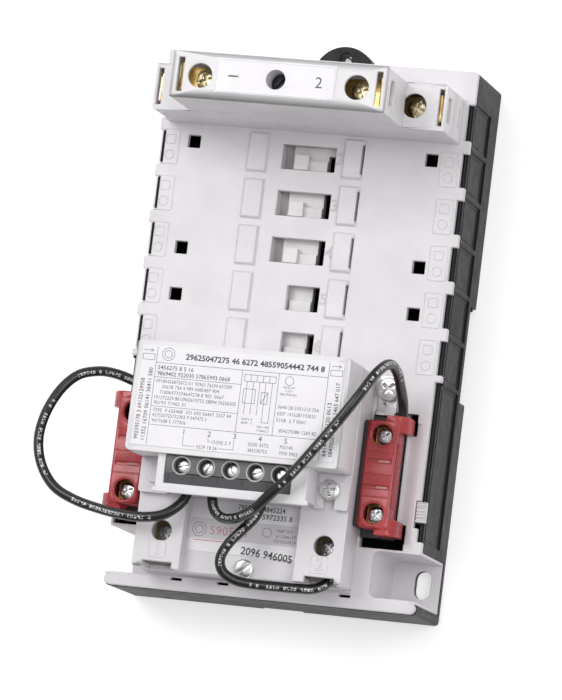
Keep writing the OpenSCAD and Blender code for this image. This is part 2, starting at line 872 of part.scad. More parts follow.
module coil_cover_hollow() {
  low = up(coil_low) + coil_wall;
  high = up(coil_high) - coil_wall;
  left = coil_left + coil_wall;
  right = coil_right - coil_wall;
  top = pedestal_z - coil_wall;
  block([left, right], [low, high], [face_z - 1, recess_z - coil_wall]);
  block([left, coil_left + coil_block_w - coil_wall], [low, high], [face_z, top]);
  block([coil_right - coil_block_w + coil_wall, right], [low, high], [face_z, top]);
  block([left, right], [up(coil_recess_high) + coil_wall, high], [face_z, top]);
}

// Post for the cover screw, boss for the module screw and the terminals' shelves
module coil_cover_posts() {
  translate([cover_screw_x, up(cover_screw_up), 0])
    rod(boss_r, [face_z, recess_z - 1]);
  translate([module_screw_x, up(module_screw_up), 0])
    rod(boss_r, [pedestal_z - 9.5, pedestal_z - 1]);
  for (x = [[coil_left + 1, coil_left + coil_block_w - coil_wall],
            [coil_right - coil_block_w + coil_wall, coil_right - 1]])
    difference() {
      block(x, [up(coil_low) + 1, up(coil_screw_up) + 7], [face_z + 2.6, face_z + 4.6]);
      for (screw_x = [coil_screw_left, coil_screw_right])
        translate([screw_x, up(coil_screw_up), 0])
          rod(2.4, [face_z, face_z + 6]);
    }
}

module coil_label() {
  color("#dcd8dc")
    block([coil_left + coil_block_w + 1, coil_right - coil_block_w - 1],
          [up(cover_screw_up) + 5, up(coil_recess_high) - 0.4], [recess_z, recess_z + label_t]);
}

module coil_terminals() {
  z = [face_z + 4.6, face_z + 6.2];
  color("#b5a269")
    for (x = [coil_screw_left, coil_screw_right])
      translate([x, up(coil_screw_up), 0])
        difference() {
          union() {
            block([-5.4, 5.4], [-9, 6.5], z);
            block([-5.4, 5.4], [4.9, 6.5], [z[0], z[1] + 4]);
          }
          rod(1.75, [z[0] - 1, z[1] + 1]);
        }
}

module coil_terminal_screws() {
  color("#c9c9cc")
    for (x = [coil_screw_left, coil_screw_right])
      translate([x, up(coil_screw_up), face_z + 6.2])
        cross_screw(3.4, 2.6, 1.7, 6);
}

module cover_screw() {
  color("#c9c9cc")
    translate([cover_screw_x, up(cover_screw_up), recess_z])
      slot_screw(3.6, 2.2, screw_r, recess_z - floor_t - 5);
}

module pole_base() {
  y = [pole_y - pole_h / 2, pole_y + pole_h / 2];
  z = [face_z, pole_split_z];
  color("#e6e4e6")
    difference() {
      union() {
        difference() {
          union() {
            round_block([-pole_half, pole_half], y, z, 0.8);
            for (side_y = [y[0] + 0.2, y[1] - 2.6])
              block([-pole_half - 0.9, -pole_half + 1], [side_y, side_y + 2.4], [face_z, face_z + 6]);
          }
          block([-pole_half + pole_wall, pole_half - pole_wall],
                [y[0] + pole_wall, y[1] - pole_wall], [face_z + pole_wall, z[1] + 1]);
        }
        pole_base_posts(y);
      }
      block([column_x[0] - 1, column_x[1] + stroke + 1],
            [pole_y - column_half - 1, pole_y + column_half + 1], [face_z - 1, face_z + 3]);
      translate([pole_fix_x, pole_y + 0.5, 0])
        rod(screw_r + 0.2, [face_z - 1, z[1]]);
      for (side = [-1, 1])
        scale([side, 1, 1]) {
          block([pole_half - 2, pole_half + 1], [pole_y - 3.6, pole_y + 3.6], [face_z + 4, face_z + 6]);
          translate([pole_low_screw, pole_y, 0])
            rod(2.3, [face_z + 6, pole_split_z + 1]);
        }
    }
}

module pole_base_posts(y) {
  translate([pole_fix_x, pole_y + 0.5, 0])
    rod(2.9, [face_z, pole_split_z]);
  for (side = [-1, 1])
    scale([side, 1, 1]) {
      block([pole_half - 12, pole_half - 1], [y[0] + 1, y[1] - 1], [face_z + 1, pole_split_z]);
      block([20, 26], [y[0] + 1, y[0] + 4], [face_z + 1, pole_split_z]);
    }
  block([-12, -8], [y[0] + 1, y[0] + 6], [face_z + 1, face_z + 4.4]);
}

module pole_cap() {
  y = [pole_y - pole_h / 2, pole_y + pole_h / 2];
  color("#eceaec")
    difference() {
      union() {
        difference() {
          union() {
            round_block([-pole_half, pole_half], y, [pole_split_z, pole_low_z], 0.8);
            round_block([pole_left, pole_right], y, [pole_split_z, pole_top_z], 0.8);
          }
          pole_cap_hollow(y);
        }
        pole_cap_posts(y);
      }
      pole_cap_holes(y);
    }
}

module pole_cap_hollow(y) {
  inside = [y[0] + pole_wall, y[1] - pole_wall];
  block([-pole_half + pole_wall, pole_half - pole_wall], inside,
        [pole_split_z - 1, pole_low_z - pole_wall]);
  block([pole_left + pole_wall, pole_right - pole_wall], inside,
        [pole_split_z - 1, pole_top_z - pole_wall]);
}

module pole_cap_posts(y) {
  translate([pole_fix_x, pole_y + 0.5, 0])
    rod(pole_fix_well_r + 1, [pole_split_z + 30, pole_top_z - 1]);
  translate([pole_fix_x, pole_y + 0.5, 0])
    rod(2.9, [pole_split_z, pole_split_z + 31]);
  for (side = [-1, 1])
    scale([side, 1, 1]) {
      block([18, 37], [y[0] + 1, y[1] - 1], [top_plate_z - 3, top_plate_z]);
    }
}

// Screw wells, wire openings and the brass slots in the front
module pole_cap_holes(y) {
  for (side = [-1, 1]) {
    end = side > 0 ? pole_right : pole_left;
    translate([side * pole_top_screw - 0.7, pole_y, 0]) {
      rod(pole_well_r, [top_plate_z + 5, pole_top_z + 1]);
      rod(2.3, [top_plate_z - 8, top_plate_z + 1]);
    }
    translate([side * pole_low_screw, pole_y, 0])
      rod(pole_well_r, [low_plate_z + 5, pole_low_z + 1]);
    block([end - 2, end + 2], [pole_y - 4.6, pole_y + 4.6],
          [top_plate_z + strip_t + 0.5, top_plate_z + 7.5]);
    block([end - side * 3.2 - 1.1, end - side * 3.2 + 1.1], [y[0] + 2.3, y[1] - 2.2],
          [top_plate_z + 6, pole_top_z + 1]);
    scale([side, 1, 1]) {
      block([pole_half - 2, pole_half + 2], [pole_y - 4.6, pole_y + 4.6],
            [low_plate_z + strip_t + 0.5, low_plate_z + 7.5]);
      block([pole_half - 2.9, pole_half - 1.1], [y[0] + 1.8, y[1] - 1.8],
            [low_plate_z + 6, pole_low_z + 1]);
    }
  }
  translate([pole_fix_x, pole_y + 0.5, 0]) {
    rod(pole_fix_well_r, [pole_split_z + 32, pole_top_z + 1]);
    rod(screw_r + 0.2, [pole_split_z - 1, pole_top_z]);
  }
}

module pole_label() {
  color("#f2f0f2")
    difference() {
      block(pole_label_x, [pole_y + pole_label_y[0], pole_y + pole_label_y[1]],
            [pole_top_z, pole_top_z + label_t]);
      translate([pole_fix_x, pole_y + 0.5, 0])
        rod(pole_fix_well_r, [pole_top_z - 1, pole_top_z + 1]);
    }
}

// Four brass strips: each pole's left strip passes under the bridge to its contact
module pole_terminals() {
  color("#b08d4a")
    translate([0, pole_y, 0]) {
      pole_right_strip(low_plate_z, pole_half - 2, pole_low_screw);
      pole_left_strip(low_plate_z, pole_half - 2, pole_low_screw, low_strip_z);
      pole_right_strip(top_plate_z, pole_right - 2.1, pole_top_screw - 0.7);
      pole_left_strip(top_plate_z, -pole_left - 2.1, pole_top_screw + 0.7, top_strip_z);
    }
}

module pole_right_strip(z, end, screw) {
  difference() {
    union() {
      block([contact_x, end], [-5, 5], [z, z + strip_t]);
      block([contact_x, contact_x + strip_t], [-5, 5], [z - 5, z + strip_t]);
      block([end - strip_t, end], [-5, 5], [z, z + 9]);
    }
    translate([screw, 0, 0])
      rod(2.05, [z - 1, z + 3]);
    block([end - 3, end + 1], [-3.6, 3.6], [z + 2, z + 7.4]);
  }
}

module pole_left_strip(z, end, screw, low) {
  difference() {
    union() {
      block([-end, -14], [-5, 5], [z, z + strip_t]);
      block([-14 - strip_t, -14], [-6.2, -3.4], [low, z + strip_t]);
      block([-14 - strip_t, contact_x + strip_t], [-6.2, -3.4], [low, low + strip_t]);
      block([contact_x, contact_x + strip_t], [-6.2, 5], [low, low + 5]);
      block([-end, strip_t - end], [-5, 5], [z, z + 9]);
    }
    translate([-screw, 0, 0])
      rod(2.05, [z - 1, z + 3]);
    block([-end - 1, 3 - end], [-3.6, 3.6], [z + 2, z + 7.4]);
  }
}

module pole_terminal_screws() {
  color("#c4bfae")
    for (side = [-1, 1]) {
      translate([side * pole_low_screw, pole_y, low_plate_z + strip_t])
        cross_screw(4, 3, 2, 9);
      translate([side * pole_top_screw - 0.7, pole_y, top_plate_z + strip_t])
        cross_screw(4, 3, 2, 9);
    }
}

module pole_fixing_screw() {
  color("#3b3c40")
    translate([pole_fix_x, pole_y + 0.5, pole_split_z + 32])
      slot_screw(3.3, 2.6, screw_r, pole_split_z + 32 - floor_t - 5);
}

module module_base() {
  z = [pedestal_z, module_z];
  color("#e6e4e6")
    difference() {
      union() {
        round_block([module_left, module_right], [up(module_low), up(module_high)], z, 1.2);
        block([neck_left, neck_right], [up(neck_low), up(module_low) + 1], z);
        module_ear([coil_left - 0.1, neck_left + 1]);
        module_ear([neck_right - 1, coil_right + 0.2]);
        translate([ear_boss_x, up(module_screw_up), 0])
          rod(3.4, [pedestal_z, pedestal_z + ear_plate_t + 1.4]);
        for (x = [module_left + 5, module_right - 5])
          for (y = [up(module_low) + 5, up(module_high) - 5])
            translate([x, y, 0])
              rod(2.2, [pedestal_z, module_z + board_up]);
      }
      translate([module_screw_x, up(module_screw_up), 0])
        rod(screw_r + 0.5, [pedestal_z - 1, pedestal_z + 5]);
      block([module_screw_x - screw_r - 0.5, module_screw_x + screw_r + 0.5],
            [up(neck_low) - 2, up(module_screw_up)], [pedestal_z - 1, pedestal_z + 5]);
    }
}

module module_ear(x) {
  round_block(x, [up(neck_low) - 0.8, up(module_low) - fit_gap],
              [pedestal_z, pedestal_z + ear_plate_t], 0.9);
}

module module_housing() {
  main_x = [module_left, module_right];
  main_y = [up(module_low), up(module_high)];
  color("#eceaec")
    difference() {
      union() {
        round_block(main_x, main_y, [module_z, module_top], 1.2);
        neck_block();
      }
      block([main_x[0] + module_wall, main_x[1] - module_wall],
            [main_y[0] + module_wall, main_y[1] - module_wall], [module_z - 1, module_top - module_wall]);
      block([terminal_left - fit_gap, terminal_right + fit_gap],
            [up(neck_low) + module_wall, up(module_low)], [module_z - 1, module_top]);
      for (i = [0 : terminal_count - 1])
        translate([terminal_x + i * terminal_pitch, 0, 0])
          block([-3.1, 3.1], [up(neck_low) - 1, up(neck_low) + 2], [module_z - 1, entry_z + 3.1]);
    }
}

// Narrow front part that holds the terminal block, clear of the base plate's ears
module neck_block() {
  difference() {
    block([neck_left, neck_right], [up(neck_low), up(module_low) + 1], [module_z, neck_top]);
    block([neck_left - 1, neck_left + 1 + fit_gap], [up(neck_low) - 1, up(module_low) + 2],
          [module_z - 1, pedestal_z + ear_plate_t + fit_gap]);
    block([neck_right - 1 - fit_gap, neck_right + 1], [up(neck_low) - 1, up(module_low) + 2],
          [module_z - 1, pedestal_z + ear_plate_t + fit_gap]);
  }
  block([neck_left - 0.9, neck_right + 0.9], [up(neck_low) - neck_lip, up(neck_low)],
        [neck_top - 1.8, neck_top]);
}

module module_label() {
  color("#f2f0f2")
    block([module_left + 2, module_right - 2], [up(module_low) + 2, up(module_high) - 2],
          [module_top, module_top + label_t]);
}

module module_board() {
  z = [module_z + board_up, module_z + board_up + board_t];
  low = up(module_low) + 10;
  color("#2f6b45")
    block([module_left + board_in, module_right - board_in],
          [up(module_low) + board_in, up(module_high) - board_in], z);
  color("#303236") {
    block([module_left + 6, module_left + 20], [low, low + 20], [z[1], z[1] + board_part_h]);
    block([module_right - 30, module_right - 18], [low, low + 12], [z[1], z[1] + board_part_h]);
  }
  color("#44474c")
    for (x = [module_left + 28, module_left + 38])
      translate([x, low + 8, 0])
        rod(board_part_h / 2, [z[1], z[1] + board_part_h]);
}

module terminal_block() {
  low = up(terminal_low);
  high = up(terminal_high);
  fold = up(39.7);
  color("#4a4b4d")
    difference() {
      translate([terminal_left, 0, 0])
        rotate([90, 0, 90])
          linear_extrude(terminal_right - terminal_left)
            polygon([[low, module_z], [high, module_z], [high, neck_top],
                     [fold, neck_top], [low, neck_top - terminal_slope]]);
      for (i = [0 : terminal_count - 1])
        translate([terminal_x + i * terminal_pitch, 0, 0]) {
          block([-clamp_w / 2 - fit_gap, clamp_w / 2 + fit_gap],
                [low - 1, up(terminal_up) + 2.6], [module_z - 1, module_z + clamp_t + 2 * fit_gap]);
          translate([0, up(terminal_up), 0])
            rod(terminal_hole_r, [module_z + clamp_t, neck_top + 1]);
        }
    }
}

module wire_clamps() {
  back = up(terminal_up) + 2.5;
  color("#8f8f92")
    for (i = [0 : terminal_count - 1])
      translate([terminal_x + i * terminal_pitch, 0, 0])
        difference() {
          block([-clamp_w / 2, clamp_w / 2], [back - clamp_l, back],
                [module_z + fit_gap, module_z + clamp_t]);
          block([-2.5, 2.5], [back - clamp_l - 1, back + 1], [module_z + 0.9, module_z + 5.4]);
          translate([0, up(terminal_up), 0])
            rod(1.5, [module_z + 4, module_z + clamp_t + 1]);
        }
}

module terminal_block_screws() {
  color("#c9c9cc")
    for (i = [0 : terminal_count - 1])
      translate([terminal_x + i * terminal_pitch, up(terminal_up), neck_top - 5])
        slot_screw(2.6, 2.2, 1.45, neck_top - 5 - module_z - 5.6);
}

module module_screw() {
  color("#c9c9cc")
    translate([module_screw_x, up(module_screw_up), pedestal_z + ear_plate_t])
      cross_screw(3.8, 2.2, screw_r, ear_plate_t + 7);
}

// Front shell of a switch about its own middle, outer side at +X
module aux_front() {
  half = aux_l / 2;
  side = aux_w / 2;
  difference() {
    union() {
      round_block([-side, side], [-half, half], [face_z + 2, aux_top], 1);
      aux_skirt(half, side);
    }
    block([aux_wall - side, side - aux_wall], [aux_wall - half, half - aux_wall],
          [face_z - 1, aux_top - aux_wall]);
    for (end = [-1, 1]) {
      translate([0, end * aux_screw_y, 0])
        rod(aux_well_r, [face_z + 7, aux_top + 1]);
      block([-aux_slot_l / 2, aux_slot_l / 2],
            [end * aux_slot_y - aux_slot_w / 2, end * aux_slot_y + aux_slot_w / 2],
            [aux_top - 0.8, aux_top + 1]);
    }
    translate([aux_port_top, half - 1, aux_port_z])
      rotate([-90, 0, 0])
        cylinder(r = aux_port_r, h = 6);
    translate([aux_port_low, aux_wall + 1 - half, aux_port_z])
      rotate([90, 0, 0])
        cylinder(r = aux_port_r, h = 6);
  }
}

// Flared feet at both ends of the outer side
module aux_skirt(half, side) {
  for (end = [0, 1])
    mirror([0, end, 0])
      translate([0, half + 2.4, 0])
        rotate([90, 0, 0])
          linear_extrude(6)
            polygon([[side - 5, face_z + 2], [side + 3.2, face_z + 0.3], [side + 3.2, aux_port_z + 1],
                     [side + 1.8, aux_port_z + 3], [side - 0.4, aux_top - 0.6], [side - 5, aux_top - 0.6]]);
}

// Rear shell of a switch, in the cover's cut-out
module aux_rear() {
  half = aux_l / 2;
  side = aux_w / 2;
  difference() {
    union() {
      block([-side - 0.7, side + 0.1], [-half - 2.8, half + 2.8], [rear_z, face_z + 2 - fit_gap]);
      block([-side - 1.3, -side - fit_gap], [-half, half], [face_z + 0.2, aux_top - 1]);
    }
    block([aux_wall - side, side - aux_wall], [aux_wall - half, half - aux_wall],
          [rear_z + aux_wall, face_z + 3]);
    block([side - 5.2, side + 1], [half - 3.8, half + 3], [face_z + 0.1, face_z + 3]);
    block([side - 5.2, side + 1], [-half - 3, 3.8 - half], [face_z + 0.1, face_z + 3]);
    block([aux_wall - side, side - aux_wall], [-plunger_w / 2 - 0.4, plunger_w / 2 + 0.4],
          [rear_z - 1, face_z]);
  }
  for (end = [-1, 1])
    block([-2.5, 2.5], [end * (half - 2.2) - 0.9, end * (half - 2.2) + 0.9], [rear_z, aux_plate_z]);
}

module place_aux_left() {
  translate([aux_left_x, aux_y, 0])
    rotate([0, 0, 180])
      children();
}

module place_aux_right() {
  translate([aux_right_x, aux_y, 0])
    children();
}

module aux_left_front() {
  color("#b83f40")
    place_aux_left()
      aux_front();
}

module aux_right_front() {
  color("#b83f40")
    place_aux_right()
      aux_front();
}

module aux_left_rear() {
  color("#2b2c30")
    place_aux_left()
      aux_rear();
}

module aux_right_rear() {
  color("#2b2c30")
    place_aux_right()
      aux_rear();
}

module aux_screws() {
  color("#c9c9cc")
    for (x = [aux_left_x, aux_right_x])
      for (end = [-1, 1])
        translate([x, aux_y + end * aux_screw_y, aux_plate_z + aux_strip_t])
          cross_screw(3.2, 2.4, 1.5, 4);
}

// Fixed contact strips of both switches
module aux_contacts() {
  pad_x = plunger_x + plunger_w + 0.6 + stroke + 0.1;
  color("#b08d4a")
    for (x = [aux_left_x, aux_right_x])
      for (end = [0, 1])
        translate([x, aux_y, 0])
          mirror([0, end, 0])
            difference() {
              union() {
                block([-4, pad_x + 0.4], [5.5, aux_l / 2 - aux_wall - 0.2],
                      [aux_plate_z, aux_plate_z + aux_strip_t]);
                block([pad_x, pad_x + 0.4], [5.5, 9], [aux_plate_z, aux_plate_z + 5]);
              }
              translate([0, aux_screw_y, 0])
                rod(1.55, [aux_plate_z - 1, aux_plate_z + 2]);
            }
}

// Plunger of one switch, with its contact bridge and the stem that the carrier holds
module aux_plunger(x) {
  translate([x, aux_y, 0]) {
    color("#e8e2cf") {
      block([plunger_x, plunger_x + plunger_w], [-plunger_w / 2, plunger_w / 2],
            [rear_z, aux_top - aux_wall - 0.3]);
      block([plunger_x + plunger_w - stem_w, plunger_x + plunger_w], [-plunger_w / 2, plunger_w / 2],
            [stem_z, rear_z + 1]);
    }
    color("#b08d4a")
      block([plunger_x + plunger_w, plunger_x + plunger_w + 0.6], [-9, 9],
            [aux_plate_z + 1.2, aux_plate_z + 4.4]);
  }
}

module aux_left_plunger() {
  aux_plunger(aux_left_x);
}

module aux_right_plunger() {
  aux_plunger(aux_right_x);
}

module aux_brackets() {
  color("#b9b9bd")
    for (i = [0, 1])
      difference() {
        union() {
          block([bracket_x[i], bracket_x[i] + 7], [aux_y + aux_l / 2 + 4.3, up(bracket_screw_up) + 5],
                [face_z, face_z + 1.2]);
          block([bracket_x[i], bracket_x[i] + 7], [aux_y + aux_l / 2 + 3, aux_y + aux_l / 2 + 4.3],
                [cover_z + 0.2, face_z + 3]);
        }
        translate([bracket_screw_x[i], up(bracket_screw_up), 0])
          rod(screw_r + 0.2, [face_z - 1, face_z + 2]);
        translate([bracket_x[i] + 2.4, up(76), 0])
          rod(0.5, [face_z - 1, face_z + 2]);
      }
}

module aux_bracket_screws() {
  color("#c9c9cc")
    for (i = [0, 1])
      translate([bracket_screw_x[i], up(bracket_screw_up), face_z + 1.2])
        cross_screw(4.5, 2.4, screw_r, face_z + 1.2 - floor_t - 5);
}

module release_slide() {
  color("#e6e4e6")
    difference() {
      union() {
        block(release_x, [thumb_y[0], pawl_y + 6], [release_z, cover_z - 0.6]);
        block([thumb_x[0], release_x[1]], thumb_y, [release_z, cover_z + 1]);
        block(thumb_x, thumb_y, [cover_z + slide_gap, face_z - 0.5]);
      }
      block([release_x[0] - 1, release_x[1] - 0.8], [pawl_y - 2.2, pawl_y + 2.1], [release_z - 1, cover_z]);
      for (k = [0 : 4])
        block([thumb_x[0] - 1, thumb_x[1] + 1], [thumb_y[0] + 0.9 + k * 1.4, thumb_y[0] + 1.6 + k * 1.4],
              [face_z - 1, face_z]);
    }
}

// Carrier that the armature pulls along X; its hooks show in the station windows
module drive_carrier() {
  z = [carrier_z, carrier_top];
  last_y = station_y(2) + 5;
  color("#dedade")
    difference() {
      union() {
        block(carrier_x, [crossbar_y[0], last_y], z);
        block([finger_left_x[0] - 2, finger_x[1]], crossbar_y, z);
        carrier_arm(z);
        carrier_fingers(z);
        carrier_pole_fork(z, last_y);
        carrier_hooks();
        translate([0, spring_y, carrier_z + carrier_t / 2])
          rod_x(spring_peg_r, [carrier_x[1] - 1, carrier_x[1] + 3]);
      }
      block([pawl_hook_x[0] - stroke - 0.3, pawl_hook_x[0] - 0.3], [crossbar_y[1] - 2, crossbar_y[1] + 1],
            [carrier_z - 1, carrier_top + 1]);
    }
}

// Arm that reaches round the armature's back
module carrier_arm(z) {
  back = armature_x - core_yoke;
  block([back - 5.4, back - 0.4], [core_y - 12, crossbar_y[1]], z);
  block([back - 4.4, back], [core_y - 12, core_y + 12], [core_z + 2, carrier_top]);
  block([back - 5.4, carrier_x[1]], [crossbar_y[0], crossbar_y[1]], z);
}

// Two fingers with forks round the plungers' stems
module carrier_fingers(z) {
  stem_left = aux_left_x + plunger_x + plunger_w - stem_w;
  stem_right = aux_right_x + plunger_x + plunger_w - stem_w;
  low = aux_y - 5;
  difference() {
    union() {
      block(finger_x, [low, crossbar_y[1]], z);
      block([stem_right - 2, finger_x[1]], [low, aux_y + 5], z);
      block(finger_left_x, [low, crossbar_y[1]], z);
      block([stem_left - 2, finger_left_x[1]], [low, aux_y + 5], z);
    }
    for (stem = [stem_left, stem_right])
      block([stem - slide_gap, stem + stem_w + slide_gap],
            [aux_y - plunger_w / 2 - 0.3, aux_y + plunger_w / 2 + 0.3], [carrier_z + 0.3, carrier_top + 1]);
  }
}

// Fork at the first station, round the pole carrier's foot
module carrier_pole_fork(z, last_y) {
  difference() {
    block([carrier_x[1] - 4, column_x[1] + 2], [last_y - 3, pole_y + column_half + 2], z);
    block([column_x[0] - slide_gap, column_x[1] + slide_gap],
          [pole_y - column_half - 0.2, pole_y + column_half + 0.2], [carrier_z - 1, carrier_top + 1]);
    translate([pole_fix_x, pole_y + 0.5, 0])
      rod(boss_r + 0.5, [carrier_z - 1, carrier_top + 1]);
  }
}

module carrier_hooks() {
  for (k = [2 : station_count]) {
    low = station_y(k) - window_h / 2 + 0.3;
    if (k <= 4)
      block(hook_x, [low, low + hook_h], [carrier_top - 0.5, face_z - 1.2]);
    block([k > 4 ? -2.6 : hook_x[1] - 0.5, carrier_x[1]], [low, low + 4], [carrier_top - 0.5, cover_z - 0.4]);
  }
}

module magnet_frame() {
  z = [core_z, core_z + core_t];
  yoke_x = core_x + core_l - core_yoke;
  color("#6f7276") {
    block([yoke_x, core_x + core_l], [core_y - core_half, core_y + core_half], z);
    block([core_x, yoke_x + 1], [core_y - core_leg / 2, core_y + core_leg / 2], z);
    for (side = [0, 1])
      translate([0, core_y, 0])
        mirror([0, side, 0])
          block([core_x, yoke_x + 1], [core_half - core_side_leg, core_half], z);
  }
}

module armature() {
  color("#7c7f84")
    block([armature_x - core_yoke + slide_gap, armature_x],
          [core_y - core_half, core_y + core_half], [core_z, core_z + core_t]);
}

module coil_bobbin() {
  mid_z = core_z + core_t / 2;
  half_y = core_leg / 2 + 0.2;
  half_z = core_t / 2 + 0.2;
  color("#3a3d42")
    translate([bobbin_x, core_y, mid_z])
      difference() {
        union() {
          block([0, bobbin_l], [-half_y - bobbin_wall, half_y + bobbin_wall],
                [-half_z - bobbin_wall, half_z + bobbin_wall]);
          for (x = [0, bobbin_l - 1.4])
            block([x, x + 1.4], [-bobbin_flange_y / 2, bobbin_flange_y / 2],
                  [-bobbin_flange_z / 2, bobbin_flange_z / 2]);
        }
        block([-1, bobbin_l + 1], [-half_y, half_y], [-half_z, half_z]);
      }
}

module coil_winding() {
  mid_z = core_z + core_t / 2;
  half_y = core_leg / 2 + 0.2 + bobbin_wall;
  half_z = core_t / 2 + 0.2 + bobbin_wall;
  color("#9a4a26")
    translate([bobbin_x, core_y, mid_z])
      rotate([90, 0, 90])
        difference() {
          round_block([-half_y - 5, half_y + 5], [-half_z - 5, half_z + 5], [1.5, bobbin_l - 1.5], 4);
          block([-half_y - 0.05, half_y + 0.05], [-half_z - 0.05, half_z + 0.05], [0, bobbin_l]);
        }
}

module carrier_return_spring() {
  color("#a9abaf")
    translate([carrier_x[1] + fit_gap, spring_y, carrier_z + carrier_t / 2])
      coil_spring(return_spring_r, 0.35, spring_post_x - carrier_x[1] - 2 * fit_gap, 7);
}

// Latch lever: its hook rests on the carrier's edge, its tail lies in the release slide
module latch_pawl() {
  z = [carrier_z, carrier_top];
  hook_y = crossbar_y[1] + 0.3;
  color("#8a8c90")
    difference() {
      union() {
        translate([pawl_x, pawl_y, 0])
          rod(4, z);
        block([pawl_x, pawl_x + pawl_tail], [pawl_y - 1.5, pawl_y + 1.5], z);
        block([pawl_hook_x[0], pawl_x], [pawl_y - 1.5, pawl_y + 1.5], z);
        block(pawl_hook_x, [hook_y, pawl_y + 1], z);
      }
      translate([pawl_x, pawl_y, 0])
        rod(latch_pin_r + 0.06, [carrier_z - 1, carrier_top + 1]);
    }
}

module latch_pin() {
  color("#c9c9cc")
    translate([pawl_x, pawl_y, 0])
      rod(latch_pin_r, [carrier_z - 9, cover_z - 0.3]);
}

// Column that carries both contact bridges through the pole module
module pole_contact_carrier() {
  y = [pole_y - column_half, pole_y + column_half];
  color("#3a3d42")
    difference() {
      block(column_x, y, [carrier_z + 0.4, top_plate_z + 1]);
      for (mid = bridge_levels())
        translate([0, pole_y, mid])
          rod_x(contact_spring_r + 0.6, [column_x[1] - 5, column_x[1] + 1]);
    }
}

// Each bridge spans from its left strip's top to its right strip's top
function bridge_spans() = [
  [low_strip_z + strip_t + 0.8, low_plate_z + strip_t - 0.8],
  [top_strip_z + strip_t + 0.8, top_plate_z + strip_t - 0.8]
];
function bridge_levels() = [for (span = bridge_spans()) (span[0] + span[1]) / 2];

module pole_contact_bridges() {
  color("#b08d4a")
    for (span = bridge_spans())
      translate([column_x[1] + bridge_gap, pole_y, 0]) {
        block([0, bridge_t], [-4.5, 4.5], span);
        translate([0, 0, (span[0] + span[1]) / 2])
          rod_x(0.9, [-4, 1]);
      }
}

module pole_contact_springs() {
  color("#a9abaf")
    for (mid = bridge_levels())
      translate([column_x[1] - 5 + 0.1, pole_y, mid])
        coil_spring(contact_spring_r, 0.3, 5 + bridge_gap - 0.2, 3);
}

module din_clip() {
  clip_low = bottom_y + clip_travel + 0.5;
  top = rail_w / 2 - lip_reach;
  slot_high = clip_post_y + clip_slot_l - clip_post_l - 2;
  color("#e6e4e6")
    difference() {
      union() {
        block([-clip_neck_w / 2 + fit_gap, clip_neck_w / 2 - fit_gap],
              [clip_low, -channel_half], [fit_gap, clip_z - fit_gap]);
        block([-clip_w / 2 + fit_gap, clip_w / 2 - fit_gap],
              [clip_low, -channel_half], [clip_step_z + fit_gap, clip_z - fit_gap]);
        block([-clip_neck_w / 2 + fit_gap, clip_neck_w / 2 - fit_gap],
              [-channel_half - 3.8, -top], [lip_z - 1, lip_z + lip_t - fit_gap]);
      }
      block([-clip_spring_r - 0.3, clip_spring_r + 0.3],
            [clip_post_y - clip_post_l - 0.1, slot_high], [-1, clip_z + 1]);
      block([-4, 4], [clip_low + 2, clip_low + 5], [-1, 2]);
    }
}

module din_clip_spring() {
  slot_high = clip_post_y + clip_slot_l - clip_post_l - 2;
  color("#a9abaf")
    translate([0, clip_post_y + fit_gap, 2.2])
      rotate([0, 0, 90])
        coil_spring(1.0, 0.25, slot_high - clip_post_y - 2 * fit_gap, 8);
}

module wire_left_loop() {
  color("#26282b")
    tube_along(route_left_loop, wire_d / 2, 8);
}

module wire_to_right_aux() {
  color("#26282b")
    tube_along(route_to_aux, wire_d / 2, 8);
}

module wire_to_a2() {
  color("#26282b")
    tube_along(route_to_coil, wire_d / 2, 8);
}

base_housing();
mechanism_rails();
front_cover();
coil_cover();
coil_label();
coil_terminals();
coil_terminal_screws();
cover_screw();
pole_base();
pole_cap();
pole_label();
pole_terminals();
pole_terminal_screws();
pole_fixing_screw();
module_housing();
module_base();
module_label();
terminal_block();
terminal_block_screws();
wire_clamps();
module_screw();
module_board();
aux_left_front();
aux_left_rear();
aux_right_front();
aux_right_rear();
aux_screws();
aux_contacts();
aux_left_plunger();
aux_right_plunger();
aux_brackets();
aux_bracket_screws();
release_slide();
drive_carrier();
magnet_frame();
coil_bobbin();
coil_winding();
armature();
carrier_return_spring();
latch_pawl();
latch_pin();
pole_contact_carrier();
pole_contact_bridges();
pole_contact_springs();
din_clip();
din_clip_spring();
wire_left_loop();
wire_to_right_aux();
wire_to_a2();
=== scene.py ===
import json
import math
import random

import bmesh
import bpy
from mathutils import Matrix, Vector
from mathutils.bvhtree import BVHTree

